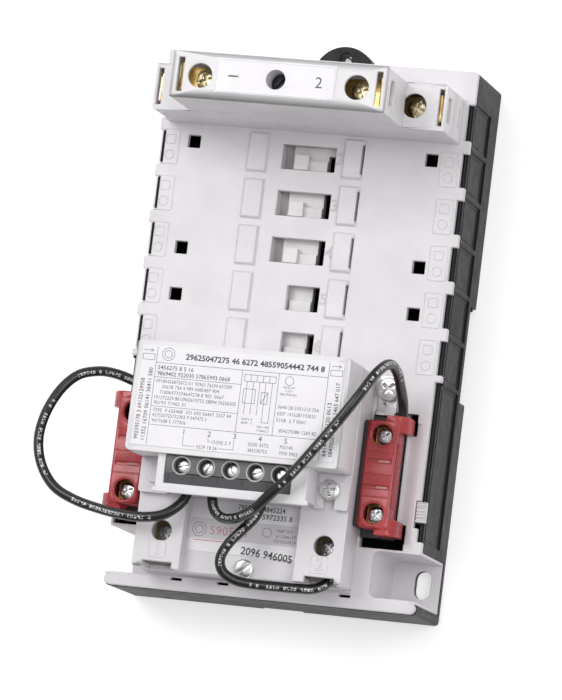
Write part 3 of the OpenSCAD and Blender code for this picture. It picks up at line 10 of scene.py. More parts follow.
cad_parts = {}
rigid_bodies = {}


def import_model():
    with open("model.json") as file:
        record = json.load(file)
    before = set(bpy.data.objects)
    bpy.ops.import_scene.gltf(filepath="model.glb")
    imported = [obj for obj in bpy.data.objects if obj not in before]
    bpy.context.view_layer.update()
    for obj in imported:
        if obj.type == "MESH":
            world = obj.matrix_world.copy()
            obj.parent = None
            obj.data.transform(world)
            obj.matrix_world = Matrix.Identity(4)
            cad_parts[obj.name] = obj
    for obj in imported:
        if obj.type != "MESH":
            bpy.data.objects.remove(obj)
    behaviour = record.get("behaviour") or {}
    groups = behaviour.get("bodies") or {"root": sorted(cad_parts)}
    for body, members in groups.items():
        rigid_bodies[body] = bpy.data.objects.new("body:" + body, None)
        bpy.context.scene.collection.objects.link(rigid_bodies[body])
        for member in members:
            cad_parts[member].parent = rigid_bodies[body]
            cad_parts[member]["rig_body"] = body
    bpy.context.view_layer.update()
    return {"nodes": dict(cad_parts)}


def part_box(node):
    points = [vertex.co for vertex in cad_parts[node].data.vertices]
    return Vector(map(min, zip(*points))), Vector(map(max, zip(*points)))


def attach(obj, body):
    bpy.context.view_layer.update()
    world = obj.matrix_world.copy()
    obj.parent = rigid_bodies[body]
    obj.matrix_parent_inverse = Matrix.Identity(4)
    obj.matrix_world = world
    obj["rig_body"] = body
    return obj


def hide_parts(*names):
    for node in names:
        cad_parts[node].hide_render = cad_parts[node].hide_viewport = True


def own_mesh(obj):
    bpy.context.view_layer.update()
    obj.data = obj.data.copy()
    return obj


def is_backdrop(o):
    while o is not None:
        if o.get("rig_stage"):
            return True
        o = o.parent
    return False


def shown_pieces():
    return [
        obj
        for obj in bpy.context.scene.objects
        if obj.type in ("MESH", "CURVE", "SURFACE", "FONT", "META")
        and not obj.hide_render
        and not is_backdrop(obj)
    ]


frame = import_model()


# The camera of the photograph: a long lens, looking steeply down on the contactor, which
# lies on its back. Its pose was solved from the corners, tabs, holes, pads and windows.
nodes = frame["nodes"]
scene = bpy.context.scene
mm = 0.001
lens = 300.0
sensor = 36.0
photo_w = 562
photo_h = 700
long_side = 700
camera_at = Vector((0.55961, -0.26826, 2.10066))
camera_back = Vector((0.26126, -0.12076, 0.95769)).normalized()
camera_up = Vector((-0.08636, 0.98524, 0.14779))

camera_right = camera_up.cross(camera_back).normalized()
camera_up = camera_back.cross(camera_right)
camera_turn = Matrix((camera_right, camera_up, camera_back)).transposed()
camera_data = bpy.data.cameras.new("photo_camera")
camera_data.lens = lens
camera_data.sensor_width = sensor
camera_data.sensor_fit = "AUTO"
camera_data.clip_start = 0.05
camera_data.clip_end = 20.0
camera = bpy.data.objects.new("photo_camera", camera_data)
camera.matrix_world = Matrix.Translation(camera_at) @ camera_turn.to_4x4()
scene.collection.objects.link(camera)
scene.camera = camera

photo_points = {
    "left_edge": (97.0, None),
    "right_edge": (502.0, None),
    "top_edge": (None, 44.0),
    "bottom_edge": (None, 631.0),
    "pole_left_well": (198.8, 74.0),
    "pole_middle_well": (274.4, 79.2),
    "pole_right_well": (355.1, 86.4),
    "pole_low_right_well": (414.4, 104.2),
    "hole_right_two": (427.9, 160.2),
    "hole_left_four": (177.8, 246.3),
    "left_frame_one": (170.1, 146.1),
    "right_frame_one": (449.0, 169.7),
    "station_two_digit": (340.4, 159.2),
    "station_four_digit": (329.4, 252.5),
    "terminal_screw_one": (181.1, 465.8),
    "terminal_screw_five": (279.3, 473.7),
    "left_coil_well": (159.6, 529.5),
    "right_coil_well": (322.1, 545.1),
    "module_screw": (331.1, 490.5),
    "right_switch_upper_screw": (387.8, 436.7),
}
shown = {}


def spot(point, surface):
    """The place on a finished surface that shows at an image point, or the nearest to its ray."""
    x, y = photo_points[point]
    ray = Vector((x - photo_w / 2, photo_h / 2 - y, -long_side * lens / sensor))
    ray = (camera_turn @ ray).normalized()
    place = surface.ray_cast(camera_at, ray)[0]
    if place is None:
        nearest, farthest, step = 1.9, 2.5, 0.002
        along = [camera_at + ray * (nearest + step * i)
                 for i in range(round((farthest - nearest) / step))]
        place = min((surface.find_nearest(p) for p in along), key=lambda found: found[3])[0]
    return place


def seen_at(place):
    """The image point at which a place in the frame shows."""
    local = camera_turn.transposed() @ (place - camera_at)
    scale = long_side * lens / sensor / -local.z
    return photo_w / 2 + local.x * scale, photo_h / 2 - local.y * scale


# Studio: a broad soft light from the upper left, a weak one from the lower right and a pale
# room, darker on the viewer's side, so that the lower walls stay grey. The floor is white to
# the camera, to gloss and to glass, and it keeps the shadow.
def linear(colour):
    """A hex sRGB colour as the linear colour that a shader takes."""
    parts = [int(colour[i:i + 2], 16) / 255 for i in (1, 3, 5)]
    parts = [p / 12.92 if p <= 0.04045 else ((p + 0.055) / 1.055) ** 2.4 for p in parts]
    return (*parts, 1.0)


def add(tree, kind, settings=None, links=None):
    """Adds a node to a tree, gives it its settings, and joins its inputs to other outputs.
    Another node stands for its first output."""
    node = tree.nodes.new(kind)
    for name, value in (settings or {}).items():
        if isinstance(name, int) or name in node.inputs:
            node.inputs[name].default_value = value
        else:
            setattr(node, name, value)
    for name, source in (links or {}).items():
        output = source.outputs[0] if isinstance(source, bpy.types.Node) else source
        tree.links.new(output, node.inputs[name])
    return node


def new_material(name):
    """An empty node material and its tree."""
    material = bpy.data.materials.new(name)
    material.use_nodes = True
    material.node_tree.nodes.clear()
    return material, material.node_tree


floor_z = -0.0004
floor_half = 6
floor_mesh = bpy.data.meshes.new("studio_floor")
floor_mesh.from_pydata([(x * floor_half, y * floor_half, floor_z)
                        for x, y in ((-1, -1), (1, -1), (1, 1), (-1, 1))], [], [(0, 1, 2, 3)])
floor = bpy.data.objects.new("studio_floor", floor_mesh)
scene.collection.objects.link(floor)
floor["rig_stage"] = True
paper, tree = new_material("white_paper_sweep")
path = add(tree, "ShaderNodeLightPath")
seen = add(tree, "ShaderNodeMath", {"operation": "MAXIMUM"},
           {0: path.outputs["Is Camera Ray"], 1: path.outputs["Is Glossy Ray"]})
seen = add(tree, "ShaderNodeMath", {"operation": "MAXIMUM"},
           {0: seen, 1: path.outputs["Is Transmission Ray"]})
sheet = add(tree, "ShaderNodeBsdfDiffuse", {"Color": linear("#e9e8e9")})
glow = add(tree, "ShaderNodeMath", {"operation": "MULTIPLY", 1: 0.5}, {0: seen})
lift = add(tree, "ShaderNodeEmission", {"Color": linear("#ffffff")}, {"Strength": glow})
both = add(tree, "ShaderNodeAddShader", links={0: sheet, 1: lift})
add(tree, "ShaderNodeOutputMaterial", links={"Surface": both})
floor_mesh.materials.append(paper)

world = bpy.data.worlds.new("pale_room")
scene.world = world
world.use_nodes = True
tree = world.node_tree
tree.nodes.clear()
path = add(tree, "ShaderNodeLightPath")
towards = add(tree, "ShaderNodeTexCoord")
height = add(tree, "ShaderNodeVectorMath", {"operation": "DOT_PRODUCT", 1: (-0.25, 0.75, 0.6)},
             {0: towards.outputs["Generated"]})
shade = add(tree, "ShaderNodeMapRange", {"From Min": -0.75, "From Max": 0.75, "To Min": 0.1,
                                         "To Max": 0.7}, {"Value": height.outputs["Value"]})
level = add(tree, "ShaderNodeMath", {"operation": "MAXIMUM"},
            {0: shade, 1: path.outputs["Is Camera Ray"]})
room = add(tree, "ShaderNodeBackground", {"Color": linear("#ffffff")}, {"Strength": level})
add(tree, "ShaderNodeOutputWorld", links={"Surface": room})

object_middle = Vector((0.0, 0.0, 0.03))
for name, place, size, power in (
        ("key_softbox", (-0.62, 0.55, 1.6), 0.9, 10.5),
        ("fill_softbox", (1.0, 0.05, 1.5), 0.9, 7.8)):
    lamp = bpy.data.lights.new(name, "AREA")
    lamp.shape = "SQUARE"
    lamp.size = size
    lamp.energy = power
    holder = bpy.data.objects.new(name, lamp)
    aim = (object_middle - Vector(place)).to_track_quat("-Z", "Y").to_matrix().to_4x4()
    holder.matrix_world = Matrix.Translation(Vector(place)) @ aim
    scene.collection.objects.link(holder)


# Control wires: single stranded conductors in black thermoplastic insulation, 3.8 mm across,
# with a white ink-jet marking along one side. They run between the screw clamps.
wire_d = 3.8 * mm
wire_routes = {
    "wire_left_loop": [
        (-49.6, -34, 46.9), (-49.8, -30.3, 47), (-51.8, -27, 47.2), (-56.3, -25.3, 47.4),
        (-62, -23.8, 48.5), (-68, -23.6, 50), (-75, -26, 52.5), (-80.5, -32.5, 55),
        (-84, -42, 58), (-84.5, -52, 61), (-81.5, -61.5, 63), (-75, -69.3, 65),
        (-66, -73.6, 66), (-56, -76, 66.5), (-48, -77.2, 67), (-40, -77.5, 67),
        (-32.5, -76, 66), (-27.5, -72.2, 64.6), (-25, -68, 63.4), (-24.6, -63.5, 63.1)],
    "wire_to_right_aux": [
        (-15.3, -63.5, 63.1), (-15, -68, 63.6), (-13, -72.6, 65.5), (-8.5, -75.2, 68.5),
        (-3, -75, 72), (3.5, -72.4, 76), (10.5, -66.5, 80), (18, -59, 82.4),
        (26.5, -48.2, 84), (34.5, -37, 84.5), (40.5, -27, 83), (44.4, -18.5, 78.5),
        (46.8, -14, 71), (47.9, -15.5, 62.5), (48, -20, 54.8), (48.2, -25, 49),
        (48.2, -29.5, 47), (48.2, -33.2, 46.9)],
    "wire_to_a2": [
        (3.3, -63.5, 63.1), (3.6, -68, 63.6), (2.4, -73.4, 65.5), (-2, -79.3, 66.8),
        (-6.2, -84.5, 66.8), (-8.6, -89.8, 66), (-7.4, -94.3, 64.8), (-3, -96.8, 62.8),
        (3, -97.4, 60.6), (11, -97.2, 57.8), (18.4, -96.9, 55.2), (24.4, -96.2, 52.8),
        (28.6, -93.2, 50.6), (30.2, -88.4, 49.4)],
}


def smooth_route(points):
    """One smooth line through a route's points, with five steps between two of them."""
    steps = 5
    ends = [points[0] * 2 - points[1], *points, points[-1] * 2 - points[-2]]
    line = []
    for a, b, c, d in zip(ends, ends[1:], ends[2:], ends[3:]):
        for step in range(steps):
            t = step / steps
            line.append(0.5 * (2 * b + (c - a) * t + (2 * a - 5 * b + 4 * c - d) * t ** 2
                               + (3 * b - a - 3 * c + d) * t ** 3))
    return [*line, points[-1]]


def put(name, mesh, material, body):
    """An object for a finished mesh of one material, with its slot's name and its body."""
    mesh.materials.clear()
    mesh.materials.append(material)
    piece = bpy.data.objects.new(name, mesh)
    scene.collection.objects.link(piece)
    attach(piece, body)
    return piece


def insulation(name, line, radius):
    """A tube along a line. Its UV map is the way round it and the millimetres along it."""
    sides = 20
    rings = []
    marked_side = Vector((0.3, -0.25, 0.92))
    side = marked_side
    run = 0.0
    for i, place in enumerate(line):
        ahead = (line[min(i + 1, len(line) - 1)] - line[max(i - 1, 0)]).normalized()
        run += (place - line[i - 1]).length if i else 0.0
        side = side - ahead * side.dot(ahead) + 0.3 * (marked_side - ahead * marked_side.dot(ahead))
        side.normalize()
        rings.append((place, side.copy(), ahead.cross(side), run))
    verts = []
    for place, out, across, _ in rings:
        for k in range(sides):
            turn = 2 * math.pi * k / sides
            verts.append(place + radius * (out * math.cos(turn) + across * math.sin(turn)))
    faces = []
    spread = []
    for i in range(len(rings) - 1):
        for k in range(sides):
            n = (k + 1) % sides
            faces.append((i * sides + k, (i + 1) * sides + k, (i + 1) * sides + n, i * sides + n))
            low, high = rings[i][3] / mm, rings[i + 1][3] / mm
            spread += [(k / sides, low), (k / sides, high), ((k + 1) / sides, high),
                       ((k + 1) / sides, low)]
    for first in (0, (len(rings) - 1) * sides):
        cap = [first + k for k in range(sides)]
        faces.append(cap if not first else cap[::-1])
        spread += [(0.5, -5.0)] * sides
    mesh = bpy.data.meshes.new(name)
    mesh.from_pydata(verts, [], faces)
    layer = mesh.uv_layers.new(name="along_wire")
    for loop, uv in zip(layer.data, spread):
        loop.uv = uv
    bm = bmesh.new()
    bm.from_mesh(mesh)
    bmesh.ops.recalc_face_normals(bm, faces=bm.faces)
    bm.to_mesh(mesh)
    bm.free()
    mesh.shade_smooth()
    return mesh


# PVC insulation: a smooth extruded skin with a soft shine. The marking is a row of broken white
# dots 1.2 mm high, in groups, as an ink-jet leaves them; they spell nothing.
wire_skin, tree = new_material("extruded_black_pvc")
uv = add(tree, "ShaderNodeUVMap", {"uv_map": "along_wire"})
split = add(tree, "ShaderNodeSeparateXYZ", links={0: uv})
where = add(tree, "ShaderNodeCombineXYZ", {2: 0.0}, {0: split.outputs[1], 1: split})
cells = add(tree, "ShaderNodeVectorMath", {"operation": "MULTIPLY", 1: (3.2, 44.0, 1.0)},
            {0: where})
cells = add(tree, "ShaderNodeVectorMath", {"operation": "FLOOR"}, {0: cells})
chance = add(tree, "ShaderNodeTexWhiteNoise", {"noise_dimensions": "2D"}, {"Vector": cells})
dots = add(tree, "ShaderNodeMath", {"operation": "GREATER_THAN", 1: 0.42}, {0: chance})
stroke_at = add(tree, "ShaderNodeMath", {"operation": "MULTIPLY", 1: 1 / 1.25},
                {0: split.outputs[1]})
stroke_no = add(tree, "ShaderNodeMath", {"operation": "FLOOR"}, {0: stroke_at})
chance = add(tree, "ShaderNodeTexWhiteNoise", {"noise_dimensions": "1D"}, {"W": stroke_no})
inked = add(tree, "ShaderNodeMath", {"operation": "GREATER_THAN", 1: 0.2}, {0: chance})
within = add(tree, "ShaderNodeMath", {"operation": "FRACT"}, {0: stroke_at})
within = add(tree, "ShaderNodeMath", {"operation": "LESS_THAN", 1: 0.75}, {0: within})
phrase = add(tree, "ShaderNodeMath", {"operation": "MODULO", 1: 46.0}, {0: split.outputs[1]})
phrase = add(tree, "ShaderNodeMath", {"operation": "LESS_THAN", 1: 33.0}, {0: phrase})
round_it = add(tree, "ShaderNodeMath", {"operation": "PINGPONG", 1: 0.5}, {0: split})
band = add(tree, "ShaderNodeMath", {"operation": "LESS_THAN", 1: 0.052}, {0: round_it})
for part in (within, band, dots, phrase):
    inked = add(tree, "ShaderNodeMath", {"operation": "MULTIPLY"}, {0: inked, 1: part})
spot_where = add(tree, "ShaderNodeTexCoord")
dust = add(tree, "ShaderNodeTexNoise", {"Scale": 350.0, "Detail": 4.0},
           {"Vector": spot_where.outputs["Object"]})
skin = add(tree, "ShaderNodeMix", {"data_type": "RGBA", 6: linear("#121315"), 7: linear("#1d1e20")},
           {0: dust})
colour = add(tree, "ShaderNodeMix", {"data_type": "RGBA", 7: linear("#d2d2cf")},
             {0: inked, 6: skin.outputs[2]})
shine = add(tree, "ShaderNodeMapRange", {"To Min": 0.2, "To Max": 0.34}, {"Value": dust})
draw_lines = add(tree, "ShaderNodeTexNoise", {"Scale": 900.0, "Detail": 1.0},
                 {"Vector": spot_where.outputs["Object"]})
relief = add(tree, "ShaderNodeBump", {"Strength": 0.25, "Distance": 0.00004},
             {"Height": draw_lines})
shader = add(tree, "ShaderNodeBsdfPrincipled", {"IOR": 1.53},
             {"Base Color": colour.outputs[2], "Roughness": shine, "Normal": relief})
add(tree, "ShaderNodeOutputMaterial", links={"Surface": shader})

for node, points in wire_routes.items():
    line = smooth_route([Vector(p) * mm for p in points])
    wire = put(node + "_insulation", insulation(node, line, wire_d / 2), wire_skin,
               "housing")
    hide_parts(node)


# Base housing: the black box with the rail channel, the keyhole ear and the foot slots. It is
# compression-moulded glass-filled phenolic, fine grained, with panels sunk in both its sides.
def welded(node):
    """A working copy of a CAD node's mesh, with its split corners joined."""
    bm = bmesh.new()
    bm.from_mesh(nodes[node].data)
    bmesh.ops.remove_doubles(bm, verts=bm.verts, dist=0.002 * mm)
    return bm


def mesh_of(bm, name, sharp_degrees=None):
    """Writes a working mesh into a mesh and frees it. With an angle, it is shaded smooth below."""
    mesh = bpy.data.meshes.new(name)
    bm.to_mesh(mesh)
    bm.free()
    if sharp_degrees:
        mesh.shade_smooth()
        mesh.set_sharp_from_angle(angle=math.radians(sharp_degrees))
    return mesh


def softened(node, width, material):
    """Rounds the long sharp edges of a copy of a CAD node, and puts the copy in its place. An edge
    stays as it is where the edges next to it leave no room for the rounding."""
    sharp_over = math.radians(28)
    straight_on = math.radians(140)
    bm = welded(node)
    bmesh.ops.dissolve_limit(bm, angle_limit=math.radians(0.4), verts=bm.verts, edges=bm.edges)
    bmesh.ops.triangulate(bm, faces=[f for f in bm.faces if len(f.verts) > 4])
    bm.normal_update()
    sharp = {e for e in bm.edges
             if len(e.link_faces) == 2 and e.calc_face_angle(0) > sharp_over}
    for _ in range(6):
        crowded = set()
        for edge in sharp:
            for end in edge.verts:
                for other in end.link_edges:
                    if other is edge:
                        continue
                    if other not in sharp:
                        if other.calc_length() < 1.15 * width:
                            crowded.add(edge)
                        continue
                    arm = other.other_vert(end).co - end.co
                    away = (edge.other_vert(end).co - end.co).angle(arm, 0)
                    need = (2.1 if away < straight_on else 0.15) * width
                    if min(other.calc_length(), edge.calc_length()) < need:
                        crowded.add(edge)
        if not crowded:
            break
        sharp -= crowded
    bmesh.ops.bevel(bm, geom=list(sharp), offset=width, offset_type="OFFSET", segments=2,
                    profile=0.5, affect="EDGES", clamp_overlap=False)
    piece = put(node + "_shape", mesh_of(bm, node + "_softened", 35), material,
                nodes[node]["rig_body"])
    piece.modifiers.new("even_normals", "WEIGHTED_NORMAL").keep_sharp = True
    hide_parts(node)
    return piece


def moulded(name, colour, darker, roughness, grain, depth, ior=1.53):
    """A moulded plastic: a base colour with faint clouds, a fine tool texture and rubbed spots.
    grain is the texture's spacing and depth its height, in millimetres."""
    material, tree = new_material(name)
    where = add(tree, "ShaderNodeTexCoord").outputs["Object"]
    clouds = add(tree, "ShaderNodeTexNoise", {"Scale": 70.0, "Detail": 3.0}, {"Vector": where})
    specks = add(tree, "ShaderNodeTexNoise", {"Scale": 1 / (grain * mm), "Detail": 2.0},
                 {"Vector": where})
    mixed = add(tree, "ShaderNodeMath", {"operation": "MULTIPLY_ADD", 1: 0.35},
                {0: specks, 2: clouds})
    share = add(tree, "ShaderNodeMapRange", {"From Min": 0.45, "From Max": 0.95}, {"Value": mixed})
    tint = add(tree, "ShaderNodeMix", {"data_type": "RGBA", 6: linear(darker), 7: linear(colour)},
               {0: share})
    rubbed = add(tree, "ShaderNodeTexNoise", {"Scale": 220.0, "Detail": 4.0}, {"Vector": where})
    dull = add(tree, "ShaderNodeMapRange",
               {"From Min": 0.3, "From Max": 0.7, "To Min": roughness - 0.06,
                "To Max": roughness + 0.07}, {"Value": rubbed})
    relief = add(tree, "ShaderNodeBump", {"Strength": 1.0, "Distance": depth * mm},
                 {"Height": specks})
    shader = add(tree, "ShaderNodeBsdfPrincipled", {"IOR": ior},
                 {"Base Color": tint.outputs[2], "Roughness": dull, "Normal": relief})
    add(tree, "ShaderNodeOutputMaterial", links={"Surface": shader})
    return material


# Phenolic: near black with a grey cast, an even fine grain and a low, broad shine.
# The grain is 0.2 mm on the real part and 0.6 mm here, so that it shows.
black_phenolic = moulded("moulded_black_phenolic", "#232428", "#191a1d", 0.55, 0.6, 0.03, 1.4)
softened("base_housing", 0.4 * mm, black_phenolic)
base_low, base_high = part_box("base_housing")


def growing_tree(name, sockets):
    """The start of a geometry tree: its inputs, the last of them a material, and its output."""
    tree = bpy.data.node_groups.new(name, "GeometryNodeTree")
    for socket, kind in sockets:
        tree.interface.new_socket(socket, in_out="INPUT", socket_type="NodeSocket" + kind)
    tree.interface.new_socket("Grown", in_out="OUTPUT", socket_type="NodeSocketGeometry")
    return tree, add(tree, "NodeGroupInput").outputs


def finish_tree(tree, geometry, material):
    """The end of a geometry tree: plain meshes of one material."""
    real = add(tree, "GeometryNodeRealizeInstances", links={"Geometry": geometry})
    dressed = add(tree, "GeometryNodeSetMaterial", links={"Geometry": real, "Material": material})
    add(tree, "NodeGroupOutput", links={0: dressed})


# Geometry nodes: every edge of a mesh becomes a low rounded bead of one material.
beads, given = growing_tree("raised_beads", (("Lines", "Geometry"), ("Bead radius", "Float"),
                                             ("Sides", "Int"), ("Finish", "Material")))
path = add(beads, "GeometryNodeMeshToCurve", links={"Mesh": given["Lines"]})
ring = add(beads, "GeometryNodeCurvePrimitiveCircle", {"mode": "RADIUS"},
           {"Resolution": given["Sides"], "Radius": given["Bead radius"]})
tube = add(beads, "GeometryNodeCurveToMesh", {"Fill Caps": True},
           {"Curve": path, "Profile Curve": ring})
finish_tree(beads, tube, given["Finish"])


def evaluated(piece):
    """A plain mesh of an object with its modifiers, or of a text."""
    graph = bpy.context.evaluated_depsgraph_get()
    return bpy.data.meshes.new_from_object(piece.evaluated_get(graph), depsgraph=graph)


def grown(name, lines, tree, inputs, body):
    """Runs a tree on a mesh of points and edges, and keeps the plain mesh that comes out."""
    seed = bpy.data.objects.new(name + "_seed", lines)
    scene.collection.objects.link(seed)
    growing = seed.modifiers.new("growing", "NODES")
    growing.node_group = tree
    for item in tree.interface.items_tree:
        if item.item_type == "SOCKET" and item.in_out == "INPUT" and item.name in inputs:
            growing[item.identifier] = inputs[item.name]
    mesh = evaluated(seed)
    bpy.data.objects.remove(seed)
    mesh.name = name
    return put(name, mesh, inputs["Finish"], body)


def beaded(name, paths, radius, sides, material, body="housing"):
    """Low beads of a radius in millimetres, half sunk, along lines that may be closed."""
    verts = []
    edges = []
    for path, closed in paths:
        first = len(verts)
        verts += [tuple(p) for p in path]
        edges += [(first + i, first + i + 1) for i in range(len(path) - 1)]
        if closed:
            edges.append((len(verts) - 1, first))
    lines = bpy.data.meshes.new(name + "_lines")
    lines.from_pydata(verts, edges, [])
    return grown(name, lines, beads,
                 {"Bead radius": radius * mm, "Sides": sides, "Finish": material}, body)


def trace(points, closed=False):
    """A line through points given in millimetres."""
    return [Vector(point) * mm for point in points], closed


def rectangle(x, y, z, corner=0.0):
    """A flat rectangle at a height, in millimetres, with its corners cut off by a size."""
    c = corner
    flat = [(x[0] + c, y[0]), (x[1] - c, y[0]), (x[1], y[0] + c), (x[1], y[1] - c),
            (x[1] - c, y[1]), (x[0] + c, y[1]), (x[0], y[1] - c), (x[0], y[0] + c)]
    if not c:
        flat = flat[::2]
    return trace([(*place, z) for place in flat], True)


def circle(x, y, z, radius, count=28):
    """A closed circle at a height, in millimetres."""
    around = [2 * math.pi * k / count for k in range(count)]
    return trace([(x + radius * math.cos(t), y + radius * math.sin(t), z) for t in around], True)


station_pitch = 17.5
station_drop = 19.7
half_w = base_high.x / mm
bottom_y = base_low.y / mm


def station_y(k):
    """The middle of a station in Y, in millimetres. Station 1 is the top one."""
    return -bottom_y - station_drop - (k - 1) * station_pitch


# Thin raised borders inside each sunk side panel, and a rim at the keyhole.
border_in = 2.2
panel_half = station_pitch / 2
panels = [(station_y(k) - panel_half + border_in, station_y(k) + panel_half - border_in)
          for k in range(1, 7)]
panels.append((bottom_y + 26 + border_in, station_y(6) - panel_half - border_in))
sides = [(side * (half_w - 0.8), low, high) for side in (-1, 1) for low, high in panels]
beaded("base_panel_borders",
       [trace([(x, low, 14.5), (x, high, 14.5), (x, high, 34.6), (x, low, 34.6)], True)
        for x, low, high in sides], 0.22, 6, black_phenolic)
beaded("base_ear_rim", [circle(0, 105.2, 8.0, 3.2)], 0.3, 6, black_phenolic)


# Front cover: the pale plate over the base, with five free stations. It is injection-moulded
# ABS with a fine spark-eroded texture, and it rests on the side walls by its edge tabs.
# ABS: warm grey-white, satin, the light spread softly; texture 0.15 mm, drawn as 0.55 mm.
grey_abs = moulded("moulded_grey_white_abs", "#e6e3e6", "#dcd8dd", 0.46, 0.55, 0.018)
cover = softened("front_cover", 0.3 * mm, grey_abs)
face_z = base_high.z / mm + 3.0
cover_surface = BVHTree.FromPolygons([v.co.copy() for v in cover.data.vertices],
                                     [list(f.vertices) for f in cover.data.polygons])


def digit(number, height, middle, turn=0.0, weight=0.0):
    """Plain figures of a given height, flat, with their middle at a place."""
    writing = bpy.data.curves.new("numeral", "FONT")
    writing.body = number
    writing.size = 1.0
    writing.resolution_u = 2 if len(number) > 1 else 4
    writing.offset = weight
    holder = bpy.data.objects.new("numeral", writing)
    scene.collection.objects.link(holder)
    mesh = evaluated(holder)
    bpy.data.objects.remove(holder)
    xs = [v.co.x for v in mesh.vertices]
    ys = [v.co.y for v in mesh.vertices]
    scale = height / (max(ys) - min(ys))
    centre = Vector(((max(xs) + min(xs)) / 2, (max(ys) + min(ys)) / 2, 0))
    mesh.transform(Matrix.Translation(middle) @ Matrix.Rotation(turn, 4, "Z")
                   @ Matrix.Diagonal((scale, scale, 1, 1)) @ Matrix.Translation(-centre))
    return mesh


def numeral_outline(number, height, middle):
    """The closed outlines of a numeral, as lines for the beads."""
    bm = bmesh.new()
    bm.from_mesh(digit(number, height, middle))
    bmesh.ops.remove_doubles(bm, verts=bm.verts, dist=1e-6)
    rim = dict.fromkeys(e for e in bm.edges if len(e.link_faces) == 1)
    lines = []
    while rim:
        edge = next(iter(rim))
        del rim[edge]
        start, at = edge.verts
        path = [start.co.copy(), at.co.copy()]
        while True:
            following = [e for e in at.link_edges if e in rim]
            if not following:
                break
            del rim[following[0]]
            at = following[0].other_vert(at)
            if at is start:
                break
            path.append(at.co.copy())
        lines.append((path, True))
    bm.free()
    return lines


# Raised borders between the edge tabs, with a ring over a bar in each, and the station numbers.
half_x, half_y = 6.7 / 2, 12.9 / 2
left_first = spot("left_frame_one", cover_surface) / mm
right_first = spot("right_frame_one", cover_surface) / mm
raised = []
marks = []
for first, name in ((left_first, "left_frame_one"), (right_first, "right_frame_one")):
    for k in range(5):
        x, y, z = first.x, first.y - k * station_pitch, face_z
        raised.append(rectangle((x - half_x, x + half_x), (y - half_y, y + half_y), z, 0.5))
        marks.append(circle(x, y - 3.0, z, 1.75, 20))
        marks.append(rectangle((x - 1.7, x + 1.7), (y + 1.2, y + 4.6), z, 0.4))
    shown[name] = Vector((first.x, first.y, face_z)) * mm
beaded("cover_mark_borders", raised, 0.28, 8, grey_abs)
beaded("cover_plain_marks", marks, 0.28, 8, grey_abs)

numbered = spot("station_two_digit", cover_surface)
numbers = []
for k in range(2, 7):
    middle = Vector((numbered.x, numbered.y - (k - 2) * station_pitch * mm, (face_z + 0.08) * mm))
    numbers += numeral_outline(str(k), 4.2 * mm, middle)
    if k in (2, 4):
        shown[f"station_{'two' if k == 2 else 'four'}_digit"] = middle
beaded("cover_station_numbers", numbers, 0.28, 6, grey_abs)


def bars(name, boxes, width, material, body):
    """Bevelled bars from their low and high corners in millimetres, in one piece on a body."""
    bm = bmesh.new()
    for low, high in boxes:
        for vert in bmesh.ops.create_cube(bm, size=1.0)["verts"]:
            vert.co = Vector([(low, high)[vert.co[axis] > 0][axis] for axis in range(3)]) * mm
    bmesh.ops.bevel(bm, geom=bm.edges[:], offset=width * mm, segments=2, affect="EDGES")
    return put(name, mesh_of(bm, name), material, body)


# A skirt hangs from the cover at the left side of each wide window.
skirt_left, skirt_right, skirt_foot, skirt_half = -12.3, -11.2, 33.0, 4.6
bars("window_skirts", [((skirt_left, station_y(k) - skirt_half, skirt_foot),
                        (skirt_right, station_y(k) + skirt_half, face_z - 0.1))
                       for k in (2, 3, 4)], 0.15, grey_abs, "housing")
shown["hole_right_two"] = Vector((45.6, station_y(2) + 2.9, face_z)) * mm
shown["hole_left_four"] = Vector((-45.6, station_y(4) - 2.2, face_z)) * mm


# Drive carrier and release slide: nylon slides under the cover. The carrier's white hooks show
# in the station windows, and the slide's thumb tab stands beside the right switch.
# Nylon: slightly translucent white, smoother and waxier than the cover.
white_nylon = moulded("moulded_white_nylon", "#e6e3e2", "#d6d3d4", 0.36, 0.9, 0.01)
softened("drive_carrier", 0.2 * mm, white_nylon)
web_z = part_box("drive_carrier")[0].z / mm + 4.8
webs = []
for k in range(2, 7):
    left = -15.6 if k < 5 else -12.0
    for right, height in ((-7.6, 1.2), (left + 1.2, 1.9)):
        webs.append(((left, station_y(k) - 4.2, web_z),
                     (right, station_y(k) + 5.6, web_z + height)))
bars("carrier_webs", webs, 0.2, white_nylon, "carrier")
softened("release_slide", 0.2 * mm, grey_abs)
tab_low, tab_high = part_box("release_slide")
ridge_y = [tab_low.y / mm + 1.0 + k * 1.1 for k in range(6)]
beaded("release_tab_ridges", [trace([(x, y, tab_high.z / mm - 0.1)
                                    for x in (56.0, tab_high.x / mm - 0.3)]) for y in ridge_y],
       0.3, 10, grey_abs, "release")


# Power module: a two-tier case for two poles at the top station. Its base and cap are moulded
# ABS, the cap a little whiter. Brass strips lie at the bottom of the screw wells.
white_abs = moulded("moulded_white_abs", "#ecebec", "#e2dfe3", 0.42, 0.6, 0.014)
softened("pole_base", 0.3 * mm, grey_abs)
softened("pole_cap", 0.35 * mm, white_abs)
pole_low, pole_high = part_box("pole_cap")
pole_y = (pole_low.y + pole_high.y) / 2 / mm
pole_top = pole_high.z / mm


